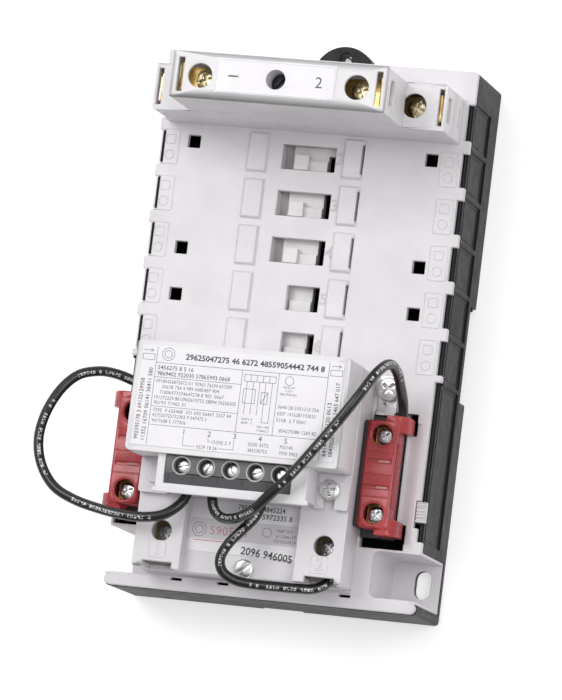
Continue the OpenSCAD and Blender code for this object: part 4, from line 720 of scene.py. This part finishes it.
def metal(name, colour, darker, roughness, streak, tarnish):
    """A bare or plated metal: streaks of a given spacing in millimetres, and duller clouds."""
    material, tree = new_material(name)
    where = add(tree, "ShaderNodeTexCoord").outputs["Object"]
    stretched = add(tree, "ShaderNodeMapping", {"Scale": (1.0, 6.0, 1.0)}, {"Vector": where})
    streaks = add(tree, "ShaderNodeTexNoise", {"Scale": 1 / (streak * mm), "Detail": 2.0},
                  {"Vector": stretched})
    clouds = add(tree, "ShaderNodeTexNoise", {"Scale": 260.0, "Detail": 4.0}, {"Vector": where})
    share = add(tree, "ShaderNodeMapRange", {"From Min": 0.35, "From Max": 0.65},
                {"Value": clouds})
    tint = add(tree, "ShaderNodeMix", {"data_type": "RGBA", 6: linear(darker), 7: linear(colour)},
               {0: share})
    dull = add(tree, "ShaderNodeMapRange",
               {"From Min": 0.3, "From Max": 0.7, "To Min": roughness + tarnish,
                "To Max": roughness}, {"Value": clouds})
    relief = add(tree, "ShaderNodeBump", {"Strength": 0.6, "Distance": 0.00002},
                 {"Height": streaks})
    shader = add(tree, "ShaderNodeBsdfPrincipled", {"Metallic": 1.0},
                 {"Base Color": tint.outputs[2], "Roughness": dull, "Normal": relief})
    add(tree, "ShaderNodeOutputMaterial", links={"Surface": shader})
    return material


# Brass: rolled strip, warm yellow, streaked along its length and browned in patches.
strip_brass = metal("rolled_contact_brass", "#d9bd80", "#b59555", 0.26, 0.5, 0.14)
softened("pole_terminals", 0.15 * mm, strip_brass)
softened("pole_contact_bridges", 0.15 * mm, strip_brass)

# The cap's label plate is polyester film, flat and a little glossier, with a pressed border.
label_film = moulded("printed_polyester_film", "#f1eff2", "#eae7eb", 0.34, 1.2, 0.004)
softened("pole_label", 0.08 * mm, label_film)
label_low, label_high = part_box("pole_label")
label_z = label_high.z / mm
border_in = 0.5
beaded("pole_label_border", [rectangle(
    (label_low.x / mm + border_in, label_high.x / mm - border_in),
    (label_low.y / mm + border_in, label_high.y / mm - border_in), label_z - 0.03, 0.6)],
       0.2, 6, label_film)


def printed(name, colour):
    """Screen-printed ink on film: flat colour with pinholes and slightly starved patches."""
    material, tree = new_material(name)
    where = add(tree, "ShaderNodeTexCoord").outputs["Object"]
    starved = add(tree, "ShaderNodeTexNoise", {"Scale": 900.0, "Detail": 3.0}, {"Vector": where})
    share = add(tree, "ShaderNodeMapRange", {"From Min": 0.5, "From Max": 0.85, "To Max": 0.45},
                {"Value": starved})
    tint = add(tree, "ShaderNodeMix",
               {"data_type": "RGBA", 6: linear(colour), 7: linear("#d8d5d8")}, {0: share})
    shader = add(tree, "ShaderNodeBsdfPrincipled", {"Roughness": 0.5, "IOR": 1.5},
                 {"Base Color": tint.outputs[2]})
    add(tree, "ShaderNodeOutputMaterial", links={"Surface": shader})
    return material


def joined(name, meshes, material, body):
    """One object from several meshes that are already in place."""
    bm = bmesh.new()
    for mesh in meshes:
        bm.from_mesh(mesh)
    for face in bm.faces:
        if face.normal.z < 0 and abs(face.normal.z) > 0.9:
            face.normal_flip()
    return put(name, mesh_of(bm, name), material, body)


# Ink: dark grey rather than black, thin, and a little broken, as screen print on film is.
grey_ink = printed("screen_printed_grey_ink", "#55545a")
black_ink = printed("screen_printed_black_ink", "#3a393e")
red_ink = printed("screen_printed_red_ink", "#c98a90")
pale_ink = printed("screen_printed_pale_ink", "#d6d2d6")
joined("pole_label_numbers", [
    digit("1", 4.0 * mm, Vector((-17.5, pole_y + 0.6, label_z + 0.02)) * mm, math.radians(90)),
    digit("2", 4.0 * mm, Vector((14.6, pole_y + 0.6, label_z + 0.02)) * mm)],
    grey_ink, "housing")

# Ledge lines, short dashes and a hatched patch moulded on the cap's lower wall.
wall_y = pole_low.y / mm - 0.02
wall_lines = [trace([(x, wall_y, z) for x in (low, high)])
              for low, high, z in ((-40.0, 39.4, 70.5), (-54.6, 54.6, 56.2))]
wall_lines += [trace([(-14 + 0.9 * k, wall_y, z) for z in (74.0, 78.0)]) for k in range(9)]
wall_lines += [trace([(x, wall_y, 62.5), (x + 2.2, wall_y, 62.5)])
               for x in (-47, -20, -9, 6, 18, 30, 45)]
beaded("pole_wall_lines", wall_lines, 0.16, 6, white_abs)
shown["pole_left_well"] = Vector((-30.1, pole_y, pole_top)) * mm
shown["pole_middle_well"] = Vector((-1.6, pole_y + 0.5, pole_top)) * mm
shown["pole_right_well"] = Vector((28.7, pole_y, pole_top)) * mm
shown["pole_low_right_well"] = Vector((43.4, pole_y, 67.0)) * mm


# Screws: plated steel, cold-headed and thread-rolled. Cross-recessed ones hold the power, coil
# and switch terminals, the module and the brackets; slotted ones the control terminals, the
# power module and the cover.
def screws_of(node):
    """A CAD node's screws, read from its mesh: seat of the head, its radius and thickness, the
    shank's radius and its reach below the head."""
    bm = welded(node)
    left = set(bm.verts)
    found = []
    while left:
        group = {left.pop()}
        new = list(group)
        while new:
            vert = new.pop()
            for other in {link.other_vert(vert) for link in vert.link_edges} - group:
                group.add(other)
                new.append(other)
        left -= group
        low = Vector([min(v.co[i] for v in group) for i in range(3)])
        high = Vector([max(v.co[i] for v in group) for i in range(3)])
        middle = (low + high) / 2
        radius = (high.x - low.x) / 2
        rim = [v.co.z for v in group if (v.co - middle).to_2d().length > 0.96 * radius]
        tip = [(v.co - middle).to_2d().length for v in group if v.co.z < low.z + 1e-5]
        found.append((Vector((middle.x, middle.y, min(rim))), radius, max(rim) - min(rim),
                      max(tip), min(rim) - low.z))
    bm.free()
    return sorted(found, key=lambda item: (round(item[0].x, 4), item[0].y))


def screw_head(name, radius, thickness, shank, reach, crossed, domed):
    """A turned profile for head and shank, with its recess cut, seated on the origin. crossed is
    False for a slot, "cross" for a cross and "slot" for both; domed is the dome's share."""
    t = thickness
    profile = [(0, -reach), (shank * 0.7, -reach), (shank, -reach + shank * 0.4),
               (shank, -0.02 * mm), (radius * 0.97, 0), (radius, 0.06 * t),
               (radius, t * (1 - domed) - 0.1 * t)]
    profile += [(radius * math.cos(a), t * (1 - domed) + t * domed * math.sin(a))
                for a in (0.25, 0.6, 0.95, 1.3)]
    profile.append((0, t))
    bm = bmesh.new()
    count = 36
    rings = [[bm.verts.new((r * math.cos(2 * math.pi * k / count),
                            r * math.sin(2 * math.pi * k / count), z))
              for k in range(count if r else 1)] for r, z in profile]
    for a, b in zip(rings, rings[1:]):
        for k in range(count):
            n = (k + 1) % count
            around = [a[k % len(a)], a[n % len(a)], b[n % len(b)], b[k % len(b)]]
            bm.faces.new(list(dict.fromkeys(around)))
    bmesh.ops.recalc_face_normals(bm, faces=bm.faces)
    blades = bmesh.new()
    top = t * 1.2
    if crossed:
        cuts = [(radius * 0.68, radius * 0.15, 0.62 * t), (radius * 0.15, radius * 0.68, 0.62 * t)]
    else:
        cuts = [(radius * 1.2, radius * 0.14, 0.5 * t)]
    if crossed == "slot":
        cuts.append((radius * 1.2, radius * 0.11, 0.3 * t))
    for across, along, depth in cuts:
        taper = 0.72 if crossed and across < radius and along < radius else 1.0
        corners = []
        for z, s in ((t - depth, taper), (top, 1.05)):
            corners += [blades.verts.new((sx * across * s, sy * along * s, z))
                        for sx, sy in ((-1, -1), (1, -1), (1, 1), (-1, 1))]
        for face in ((0, 3, 2, 1), (4, 5, 6, 7), (0, 1, 5, 4), (1, 2, 6, 5), (2, 3, 7, 6),
                     (3, 0, 4, 7)):
            blades.faces.new([corners[i] for i in face])
    cutter = bpy.data.objects.new(name + "_cutter", mesh_of(blades, name + "_cutter"))
    head = bpy.data.objects.new(name, mesh_of(bm, name))
    scene.collection.objects.link(cutter)
    scene.collection.objects.link(head)
    cut = head.modifiers.new("recess", "BOOLEAN")
    cut.operation = "DIFFERENCE"
    cut.object = cutter
    cut.solver = "EXACT"
    cut.use_self = True
    edge = head.modifiers.new("edge", "BEVEL")
    edge.width = 0.06 * radius
    edge.segments = 2
    edge.limit_method = "ANGLE"
    edge.angle_limit = math.radians(40)
    finished = evaluated(head)
    bpy.data.objects.remove(cutter)
    head.modifiers.clear()
    head.data = finished
    finished.shade_smooth()
    finished.set_sharp_from_angle(angle=math.radians(35))
    return head


# Geometry nodes: a screw on every point, turned by the point's own angle.
screwing, given = growing_tree("screws_in_place", (("Places", "Geometry"), ("Screw", "Object"),
                                                   ("Finish", "Material")))
screw = add(screwing, "GeometryNodeObjectInfo", {"As Instance": True}, {"Object": given["Screw"]})
turn = add(screwing, "GeometryNodeInputNamedAttribute", {"data_type": "FLOAT", "Name": "turn"})
about = add(screwing, "ShaderNodeCombineXYZ", links={2: turn})
placed = add(screwing, "GeometryNodeInstanceOnPoints",
             links={"Points": given["Places"], "Instance": screw.outputs["Geometry"],
                    "Rotation": about})
finish_tree(screwing, placed, given["Finish"])

# Zinc plate: bright blue-white, a fine matt bloom, a little darker in the recess.
zinc = metal("zinc_plated_steel", "#f0efee", "#c9c9cb", 0.22, 0.35, 0.12)
yellow_zinc = metal("yellow_zinc_plated_steel", "#efe4c4", "#c8b98c", 0.22, 0.35, 0.12)
black_oxide = metal("blackened_steel", "#57585c", "#3b3c40", 0.4, 0.35, 0.12)
for node, finish, slot, crossed, domed, angles in (
        ("pole_terminal_screws", yellow_zinc, "plated_screw", "slot", 0.25, (62, 20, 118, 75)),
        ("pole_fixing_screw", black_oxide, "dark_screw", False, 0.15, (52,)),
        ("coil_terminal_screws", zinc, "plated_screw", "slot", 0.2, (28, 50)),
        ("cover_screw", zinc, "plated_screw", False, 0.3, (35,)),
        ("terminal_block_screws", zinc, "plated_screw", False, 0.2, (15, 62, 118, 20, 132)),
        ("module_screw", zinc, "plated_screw", "cross", 0.35, (8,)),
        ("aux_screws", zinc, "plated_screw", "cross", 0.3, (30, 12, 52, 40)),
        ("aux_bracket_screws", zinc, "plated_screw", "cross", 0.3, (15, 48))):
    found = screws_of(node)
    _, radius, thickness, shank, reach = found[0]
    head = screw_head(node + "_head", radius, thickness, shank, reach, crossed, domed)
    places = bpy.data.meshes.new(node + "_places")
    places.from_pydata([item[0] for item in found], [], [])
    turned = places.attributes.new("turn", "FLOAT", "POINT")
    for i in range(len(found)):
        turned.data[i].value = math.radians(angles[i % len(angles)])
    screws = grown(node + "_shape", places, screwing, {"Screw": head, "Finish": finish},
                   "housing")
    bpy.data.objects.remove(head)
    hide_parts(node)
    if node == "terminal_block_screws":
        shown["terminal_screw_one"] = found[0][0] + Vector((0, 0, 5.0 * mm))
        shown["terminal_screw_five"] = found[4][0] + Vector((0, 0, 5.0 * mm))
    elif node == "coil_terminal_screws":
        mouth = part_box("coil_cover")[1].z
        shown["left_coil_well"] = Vector((*found[0][0].xy, mouth))
        shown["right_coil_well"] = Vector((*found[1][0].xy, mouth))
    elif node == "module_screw":
        shown["module_screw"] = found[0][0] + Vector((0, 0, thickness))
    elif node == "aux_screws":
        upper = max(found[2:], key=lambda item: item[0].y)
        shown["right_switch_upper_screw"] = upper[0] + Vector((0, 0, thickness))


# Coil cover: the moulded ABS pedestal over the magnet, with a terminal in each lower corner
# and a sunk label between them. One slotted screw in a round well holds it to the base.
softened("coil_cover", 0.35 * mm, grey_abs)
strip_nickel = metal("nickel_washed_brass", "#cdc3a3", "#a08f63", 0.26, 0.5, 0.14)
softened("coil_terminals", 0.15 * mm, strip_nickel)
softened("coil_label", 0.06 * mm, label_film)
pedestal_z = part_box("coil_cover")[1].z / mm
recess_label_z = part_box("coil_label")[1].z / mm


def up(height):
    """A height above the base's lower edge, as Y in millimetres."""
    return height + bottom_y


coil_marks = []
for number, x in (("1", -34.9), ("2", 26.6)):
    coil_marks += numeral_outline(number, 4.4 * mm, Vector((x, up(13.4), pedestal_z)) * mm)
    coil_marks.append(rectangle((x - 3.4, x + 3.0), (up(10.2), up(16.4)), pedestal_z, 0.6))
beaded("coil_terminal_marks", coil_marks, 0.2, 6, grey_abs)


# Printing on the labels: thin rules, rings, and rows of plain figures in place of the words.
typing = random.Random(5)


def rows(name, z, lines, height, ink, weight=0.0):
    """Printed rows of figures. Each line runs from x1, y1 to x2, y2, in millimetres up from the
    base's edge."""
    meshes = []
    for x1, y1, x2, y2 in lines:
        a, b = Vector((x1, up(y1), z)), Vector((x2, up(y2), z))
        run = b - a
        count = max(3, round(run.length / (0.62 * height)))
        figures = "".join(typing.choice("0123456789") if (i + 1) % typing.choice((5, 6, 8)) else " "
                          for i in range(count)).strip()
        mesh = digit(figures, 1.0, Vector((0, 0, 0)), weight=weight)
        wide = max(v.co.x for v in mesh.vertices) * 2
        mesh.transform(Matrix.Translation((a + b) / 2 * mm)
                       @ Matrix.Rotation(math.atan2(run.y, run.x), 4, "Z")
                       @ Matrix.Diagonal((run.length * mm / wide, height * mm, 1, 1)))
        meshes.append(mesh)
    return joined(name, meshes, ink, "housing")


def rules(name, lines, width, ink):
    """Printed rules: flat strips along lines given in millimetres."""
    verts = []
    faces = []
    for path, closed in lines:
        ends = list(zip(path, path[1:])) + ([(path[-1], path[0])] if closed else [])
        for a, b in ends:
            ahead = (b - a).normalized() * width * mm / 2
            side = Vector((-ahead.y, ahead.x, 0))
            first = len(verts)
            verts += [a - ahead - side, b + ahead - side, b + ahead + side, a - ahead + side]
            faces.append((first, first + 1, first + 2, first + 3))
    mesh = bpy.data.meshes.new(name)
    mesh.from_pydata(verts, [], faces)
    return put(name, mesh, ink, "housing")


def straight(z, *lines):
    """Lines at a height, each from x1, y1 to x2, y2, in millimetres up from the base's edge."""
    return [trace([(x1, up(y1), z), (x2, up(y2), z)]) for x1, y1, x2, y2 in lines]


z = recess_label_z + 0.02
rules("coil_label_rules", [circle(-21.6, up(22.6), z, 2.6, 32), circle(-21.6, up(22.6), z, 1.5, 24),
                           circle(4.0, up(23.6), z, 1.7, 24)], 0.18, grey_ink)
rules("coil_label_red_rule", straight(z, (-23.5, 18.6, -12.5, 18.6)), 0.35, red_ink)
rules("coil_label_grey_band", straight(z - 0.008, (-22.0, 23.0, 15.0, 23.0)), 7.6, pale_ink)
rows("coil_label_words", z, [(7.6, 24.6, 13.8, 24.6), (7.6, 22.6, 15.2, 22.6),
                             (6.8, 20.8, 15.2, 20.8)], 1.25, grey_ink)
rows("coil_label_type", z, [(-17.5, 22.6, -3.4, 22.6)], 3.2, red_ink)
rows("coil_label_heading", z, [(-8.0, 29.2, 13.0, 29.2), (-8.0, 32.0, 10.0, 32.0)], 2.0, grey_ink,
     0.015)
rows("coil_label_stamp", z, [(-5.0, 16.3, 14.6, 14.6)], 3.0, black_ink, 0.02)


# Control module: a two-part ABS case that plugs over the pedestal, with a printed film label,
# a small circuit board inside, and an ear with a cross-recessed screw.
softened("module_base", 0.3 * mm, grey_abs)
softened("module_housing", 0.35 * mm, white_abs)
softened("module_label", 0.06 * mm, label_film)
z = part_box("module_label")[1].z / mm + 0.02
left, right = -37.9, 27.0
title, foot, column_one, column_two = 79.1, 56.3, -5.1, 8.7
module_rules = straight(
    z, (left, 49.0, left, 84.8), (right, 49.0, right, 84.8), (left, title, right, title),
    (left, foot, right, foot), (column_one, foot, column_one, title),
    (column_two, foot, column_two, title), (left, 73.8, column_one, 73.8),
    (left, 63.1, column_one, 63.1))
module_rules += [circle(-33.6, up(82.4), z, 2.3, 32), circle(-33.6, up(82.4), z, 1.35, 24),
                 circle(12.8, up(76.6), z, 1.6, 24)]
boxes = [-4.0 + 2.35 * k for k in range(6)]
module_rules += straight(
    z, (-24.3, 49.7, -24.3, 53.2), (-5.2, 49.7, -5.2, 53.2), (-24.3, 49.7, -19.8, 49.7),
    (-10.6, 49.7, -5.2, 49.7), (-14.9, 51.9, -14.9, 53.2), (-14.9, 51.9, -14.0, 51.9),
    *[(x, 75.2, x, 77.6) for x in boxes], *[(boxes[0], y, boxes[-1], y) for y in (75.2, 77.6)],
    *[(x, 63.2, x, 75.2) for x in (-2.9, -0.5, 1.9)], *[(x, 60.6, x, 75.2) for x in (4.1, 6.6)])
module_rules += [rectangle((-3.9, 0.6), (up(67.2), up(72.4)), z),
                 rectangle((2.9, 5.3), (up(67.4), up(71.6)), z),
                 *straight(z, (2.9, 67.4, 5.3, 71.6), (4.1, 60.6, 6.6, 60.6))]
for x in (-40.9, 29.9):
    module_rules += [rectangle((x - 2.2, x + 2.2), (up(79.9), up(82.0)), z),
                     *straight(z, (x - 2.0, 83.4, x + 1.6, 83.4), (x + 1.6, 83.4, x + 0.6, 84.0),
                               (x + 1.6, 83.4, x + 0.6, 82.8))]
rules("module_label_rules", module_rules, 0.17, grey_ink)
rows("module_label_title", z, [(-27.0, 82.0, 25.4, 82.0)], 2.3, black_ink, 0.03)
rows("module_label_heading", z, [(-37.0, 77.4, -23.5, 77.4), (-37.0, 75.2, -9.5, 75.2)], 1.6,
     grey_ink, 0.01)
small = [(-37.0, 72.4, -8.3), (-34.6, 70.4, -13.0), (-35.2, 68.4, -11.0), (-37.0, 66.4, -6.2),
         (-37.0, 64.5, -25.0), (-37.0, 61.8, -7.4), (-37.0, 59.9, -16.4), (-37.0, 57.9, -24.0),
         (9.6, 66.9, 25.0), (9.6, 64.5, 24.0), (9.6, 62.1, 20.5), (11.0, 58.3, 25.0),
         (-19.0, 49.7, -11.2), (-13.4, 51.9, -6.2), (0.2, 52.4, 7.8), (0.2, 50.2, 7.6),
         (12.0, 52.4, 17.0), (12.0, 50.2, 19.0)]
rows("module_label_words", z, [(a, y, b, y) for a, y, b in small], 1.3, grey_ink)
tiny = [(-3.4, 61.4, 0.6), (-3.4, 60.0, 0.6), (2.6, 59.0, 7.2), (2.6, 57.6, 7.2),
        (10.8, 74.2, 15.0), (11.6, 72.9, 14.2), (9.8, 71.6, 16.0)]
rows("module_label_small_words", z, [(a, y, b, y) for a, y, b in tiny], 0.85, grey_ink)
rows("module_label_side_words", z, [(x, 50.5, x, top) for x, top in (
    (-42.2, 73.0), (-39.6, 77.0), (28.7, 70.0), (31.1, 77.5))], 1.6, grey_ink, 0.01)
joined("module_label_numbers",
       [digit(str(k + 1), 1.9 * mm, Vector((-24.3 + 9.6 * k, up(54.7), z)) * mm)
        for k in range(5)], black_ink, "housing")


# Circuit board: epoxy glass laminate under green solder mask, with moulded parts soldered on.
# The mask is glossy and shows the copper tracks as slightly paler lines.
board_mask, tree = new_material("green_solder_mask")
where = add(tree, "ShaderNodeTexCoord").outputs["Object"]
tracks = add(tree, "ShaderNodeTexBrick", {"Scale": 130.0, "Mortar Size": 0.035,
                                          "Color1": linear("#2a6a44"), "Color2": linear("#2f7049"),
                                          "Mortar": linear("#4f8f63")}, {"Vector": where})
shader = add(tree, "ShaderNodeBsdfPrincipled", {"Roughness": 0.22, "IOR": 1.52},
             {"Base Color": tracks})
add(tree, "ShaderNodeOutputMaterial", links={"Surface": shader})
nodes["module_board"].material_slots[0].material = board_mask


# Terminal block: dark grey PBT, five wells for the slotted clamp screws with a raised ring
# round each, and the plated rising clamps under them, which show below the case's lip.
# PBT: hard and satin, with paler grey rings round the wells; the grain is 0.2 mm, drawn as 0.5 mm.
dark_pbt = moulded("moulded_dark_grey_pbt", "#67686a", "#55565a", 0.42, 0.5, 0.03, 1.5)
softened("terminal_block", 0.25 * mm, dark_pbt)
block_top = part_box("terminal_block")[1].z / mm
well_x = [-24.6 + 9.3 * k for k in range(5)]
# The raised rings round the wells are coloured a paler grey than the block.
ring_pbt = moulded("pale_grey_ring_pbt", "#c9c7c4", "#a5a4a3", 0.4, 0.5, 0.02, 1.5)
beaded("terminal_block_rings", [circle(x, up(42.7), block_top - 0.12, 3.25, 36) for x in well_x],
       0.32, 10, ring_pbt)
beaded("terminal_block_ribs",
       [trace([(x, up(39.4), block_top - 0.1), (x, up(36.3), block_top - 2.0)])
        for x in (-29.2, -19.95, -10.65, -1.35, 7.95, 15.9)], 0.25, 8, dark_pbt)
clamp_steel = metal("zinc_plated_clamp_steel", "#e2e2e3", "#b3b3b6", 0.24, 0.6, 0.12)
softened("wire_clamps", 0.2 * mm, clamp_steel)


def corners(middle, size):
    """The low and high corners of a bar from its middle and its size."""
    return [[m + sign * s / 2 for m, s in zip(middle, size)] for sign in (-1, 1)]


clamp_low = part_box("wire_clamps")[0] / mm
lip_y = clamp_low.y - 0.9
bars("clamp_lips", [corners((x, lip_y + y, clamp_low.z + z), size) for x in well_x
                    for y, z, size in ((0.0, 3.4, (7.4, 1.3, 0.7)), (0.5, 2.5, (6.6, 0.7, 1.5)))],
     0.15, clamp_steel, "housing")


# Auxiliary switches: a red PBT front shell and a black rear shell each, held by a bent steel
# bracket. Their screw wells stand in round raised rims, with two light tongues between them.
# Red PBT: glossy from the tool, deeper in the hollows, with a rough strip on the outer side.
red_pbt = moulded("moulded_red_pbt", "#c5474a", "#a02f33", 0.27, 0.8, 0.018, 1.57)
rough_red = moulded("textured_red_pbt", "#b13c3f", "#8c282b", 0.52, 0.7, 0.09, 1.57)
black_pbt = moulded("moulded_black_pbt", "#2f3034", "#222327", 0.38, 0.6, 0.02, 1.57)
tongue_pbt = moulded("moulded_pink_pbt", "#d9a7a2", "#a8605c", 0.4, 0.6, 0.01, 1.57)
switch_lines = []
strips = []
tongues = []
for side, name in ((1, "right"), (-1, "left")):
    softened(f"aux_{name}_front", 0.4 * mm, red_pbt)
    softened(f"aux_{name}_rear", 0.25 * mm, black_pbt)
    softened(f"aux_{name}_plunger", 0.15 * mm, white_nylon)
    low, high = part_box(f"aux_{name}_front")
    x = 42.6 if side > 0 else -52.2
    y = (low.y + high.y) / 2 / mm
    top = high.z / mm
    for end in (-1, 1):
        switch_lines.append(circle(x, y + end * 14.5, top - 0.1, 4.55, 40))
        tongues.append(corners((x + 1.9, y + end * 4.8, top - 0.65), (4.2, 0.9, 0.5)))
    for offset in (-8.3, 0.0, 8.3):
        switch_lines.append(trace([(x + dx, y + offset, top - 0.12) for dx in (-5.2, 5.2)]))
    strips.append(corners((x + side * 5.85, y, top - 3.6), (0.3, 24.0, 4.4)))
beaded("switch_well_rims", switch_lines, 0.35, 10, red_pbt)
bars("switch_tongues", tongues, 0.12, tongue_pbt, "housing")
bars("switch_grip_strips", strips, 0.12, rough_red, "housing")
softened("aux_brackets", 0.12 * mm, clamp_steel)
softened("aux_contacts", 0.1 * mm, strip_brass)


# Mechanism: magnet halves stacked from silicon-steel sheets, a bobbin wound with enamelled
# copper, steel springs, the latch pawl on its pin, and the rails that carry the slides.
def banded(name, axis, scale, distortion, detail, dark, light, relief_by, depth, finish):
    """A stack of thin layers: bands across an axis, in two colours and in relief."""
    material, tree = new_material(name)
    where = add(tree, "ShaderNodeTexCoord").outputs["Object"]
    bands = add(tree, "ShaderNodeTexWave",
                {"wave_type": "BANDS", "bands_direction": axis, "Scale": scale,
                 "Distortion": distortion, "Detail": detail}, {"Vector": where})
    tint = add(tree, "ShaderNodeMix", {"data_type": "RGBA", 6: linear(dark), 7: linear(light)},
               {0: bands})
    relief = add(tree, "ShaderNodeBump", {"Strength": relief_by, "Distance": depth},
                 {"Height": bands})
    shader = add(tree, "ShaderNodeBsdfPrincipled", finish,
                 {"Base Color": tint.outputs[2], "Normal": relief})
    add(tree, "ShaderNodeOutputMaterial", links={"Surface": shader})
    return material


# Silicon steel: grey sheets half a millimetre thick, their cut edges in fine bright steps.
sheet_steel = banded("stacked_silicon_steel", "Z", 320.0, 0.6, 1.0, "#5c5f63", "#8b8e91",
                     0.8, 0.00005, {"Metallic": 0.9, "Roughness": 0.42})
# Copper: turns of enamelled wire side by side, brown-orange under a glossy skin.
copper_wire = banded("enamelled_copper_winding", "X", 620.0, 0.4, 2.0, "#7c3517", "#b5602f",
                     1.0, 0.0001, {"Metallic": 0.6, "Roughness": 0.3})
spring_steel = metal("drawn_spring_steel", "#b3b5b8", "#84868a", 0.26, 0.4, 0.12)
softened("mechanism_rails", 0.2 * mm, black_phenolic)
softened("latch_pawl", 0.15 * mm, clamp_steel)
softened("pole_contact_carrier", 0.15 * mm, black_pbt)
for node, material in (
        ("magnet_frame", sheet_steel), ("armature", sheet_steel), ("coil_bobbin", black_pbt),
        ("coil_winding", copper_wire), ("pole_contact_springs", spring_steel),
        ("latch_pin", clamp_steel)):
    for place in nodes[node].material_slots:
        place.material = material


def pressed_spring(node):
    """A joined copy of a CAD coil spring, with a mesh of its own, in the CAD node's place."""
    bm = welded(node)
    piece = put(node + "_wound", mesh_of(bm, node + "_wound", 60), spring_steel,
                nodes[node]["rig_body"])
    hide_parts(node)
    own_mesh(piece)


# The carrier runs towards the post of its spring.
pressed_spring("carrier_return_spring")


# Rail clip: a sprung nylon foot in the back that snaps over the lower edge of a mounting rail.
# It is drawn down against its spring.
softened("din_clip", 0.25 * mm, grey_abs)
pressed_spring("din_clip_spring")


# What shows where: the object's edges by its finished vertices, and the named features.
bpy.context.view_layer.update()
graph = bpy.context.evaluated_depsgraph_get()
edge_x = []
edge_y = []
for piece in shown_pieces():
    if "insulation" in piece.name:
        continue
    mesh = piece.evaluated_get(graph).to_mesh()
    for vert in mesh.vertices:
        x, y = seen_at(piece.matrix_world @ vert.co)
        edge_x.append(x)
        edge_y.append(y)
misses = {"left_edge": {"x": min(edge_x) - photo_points["left_edge"][0]},
          "right_edge": {"x": max(edge_x) - photo_points["right_edge"][0]},
          "top_edge": {"y": min(edge_y) - photo_points["top_edge"][1]},
          "bottom_edge": {"y": max(edge_y) - photo_points["bottom_edge"][1]}}
for name, place in shown.items():
    x, y = seen_at(place)
    misses[name] = {"x": x - photo_points[name][0], "y": y - photo_points[name][1]}
misses = {name: {k: round(v, 2) for k, v in miss.items()} for name, miss in misses.items()}

scene.view_settings.view_transform = "Standard"
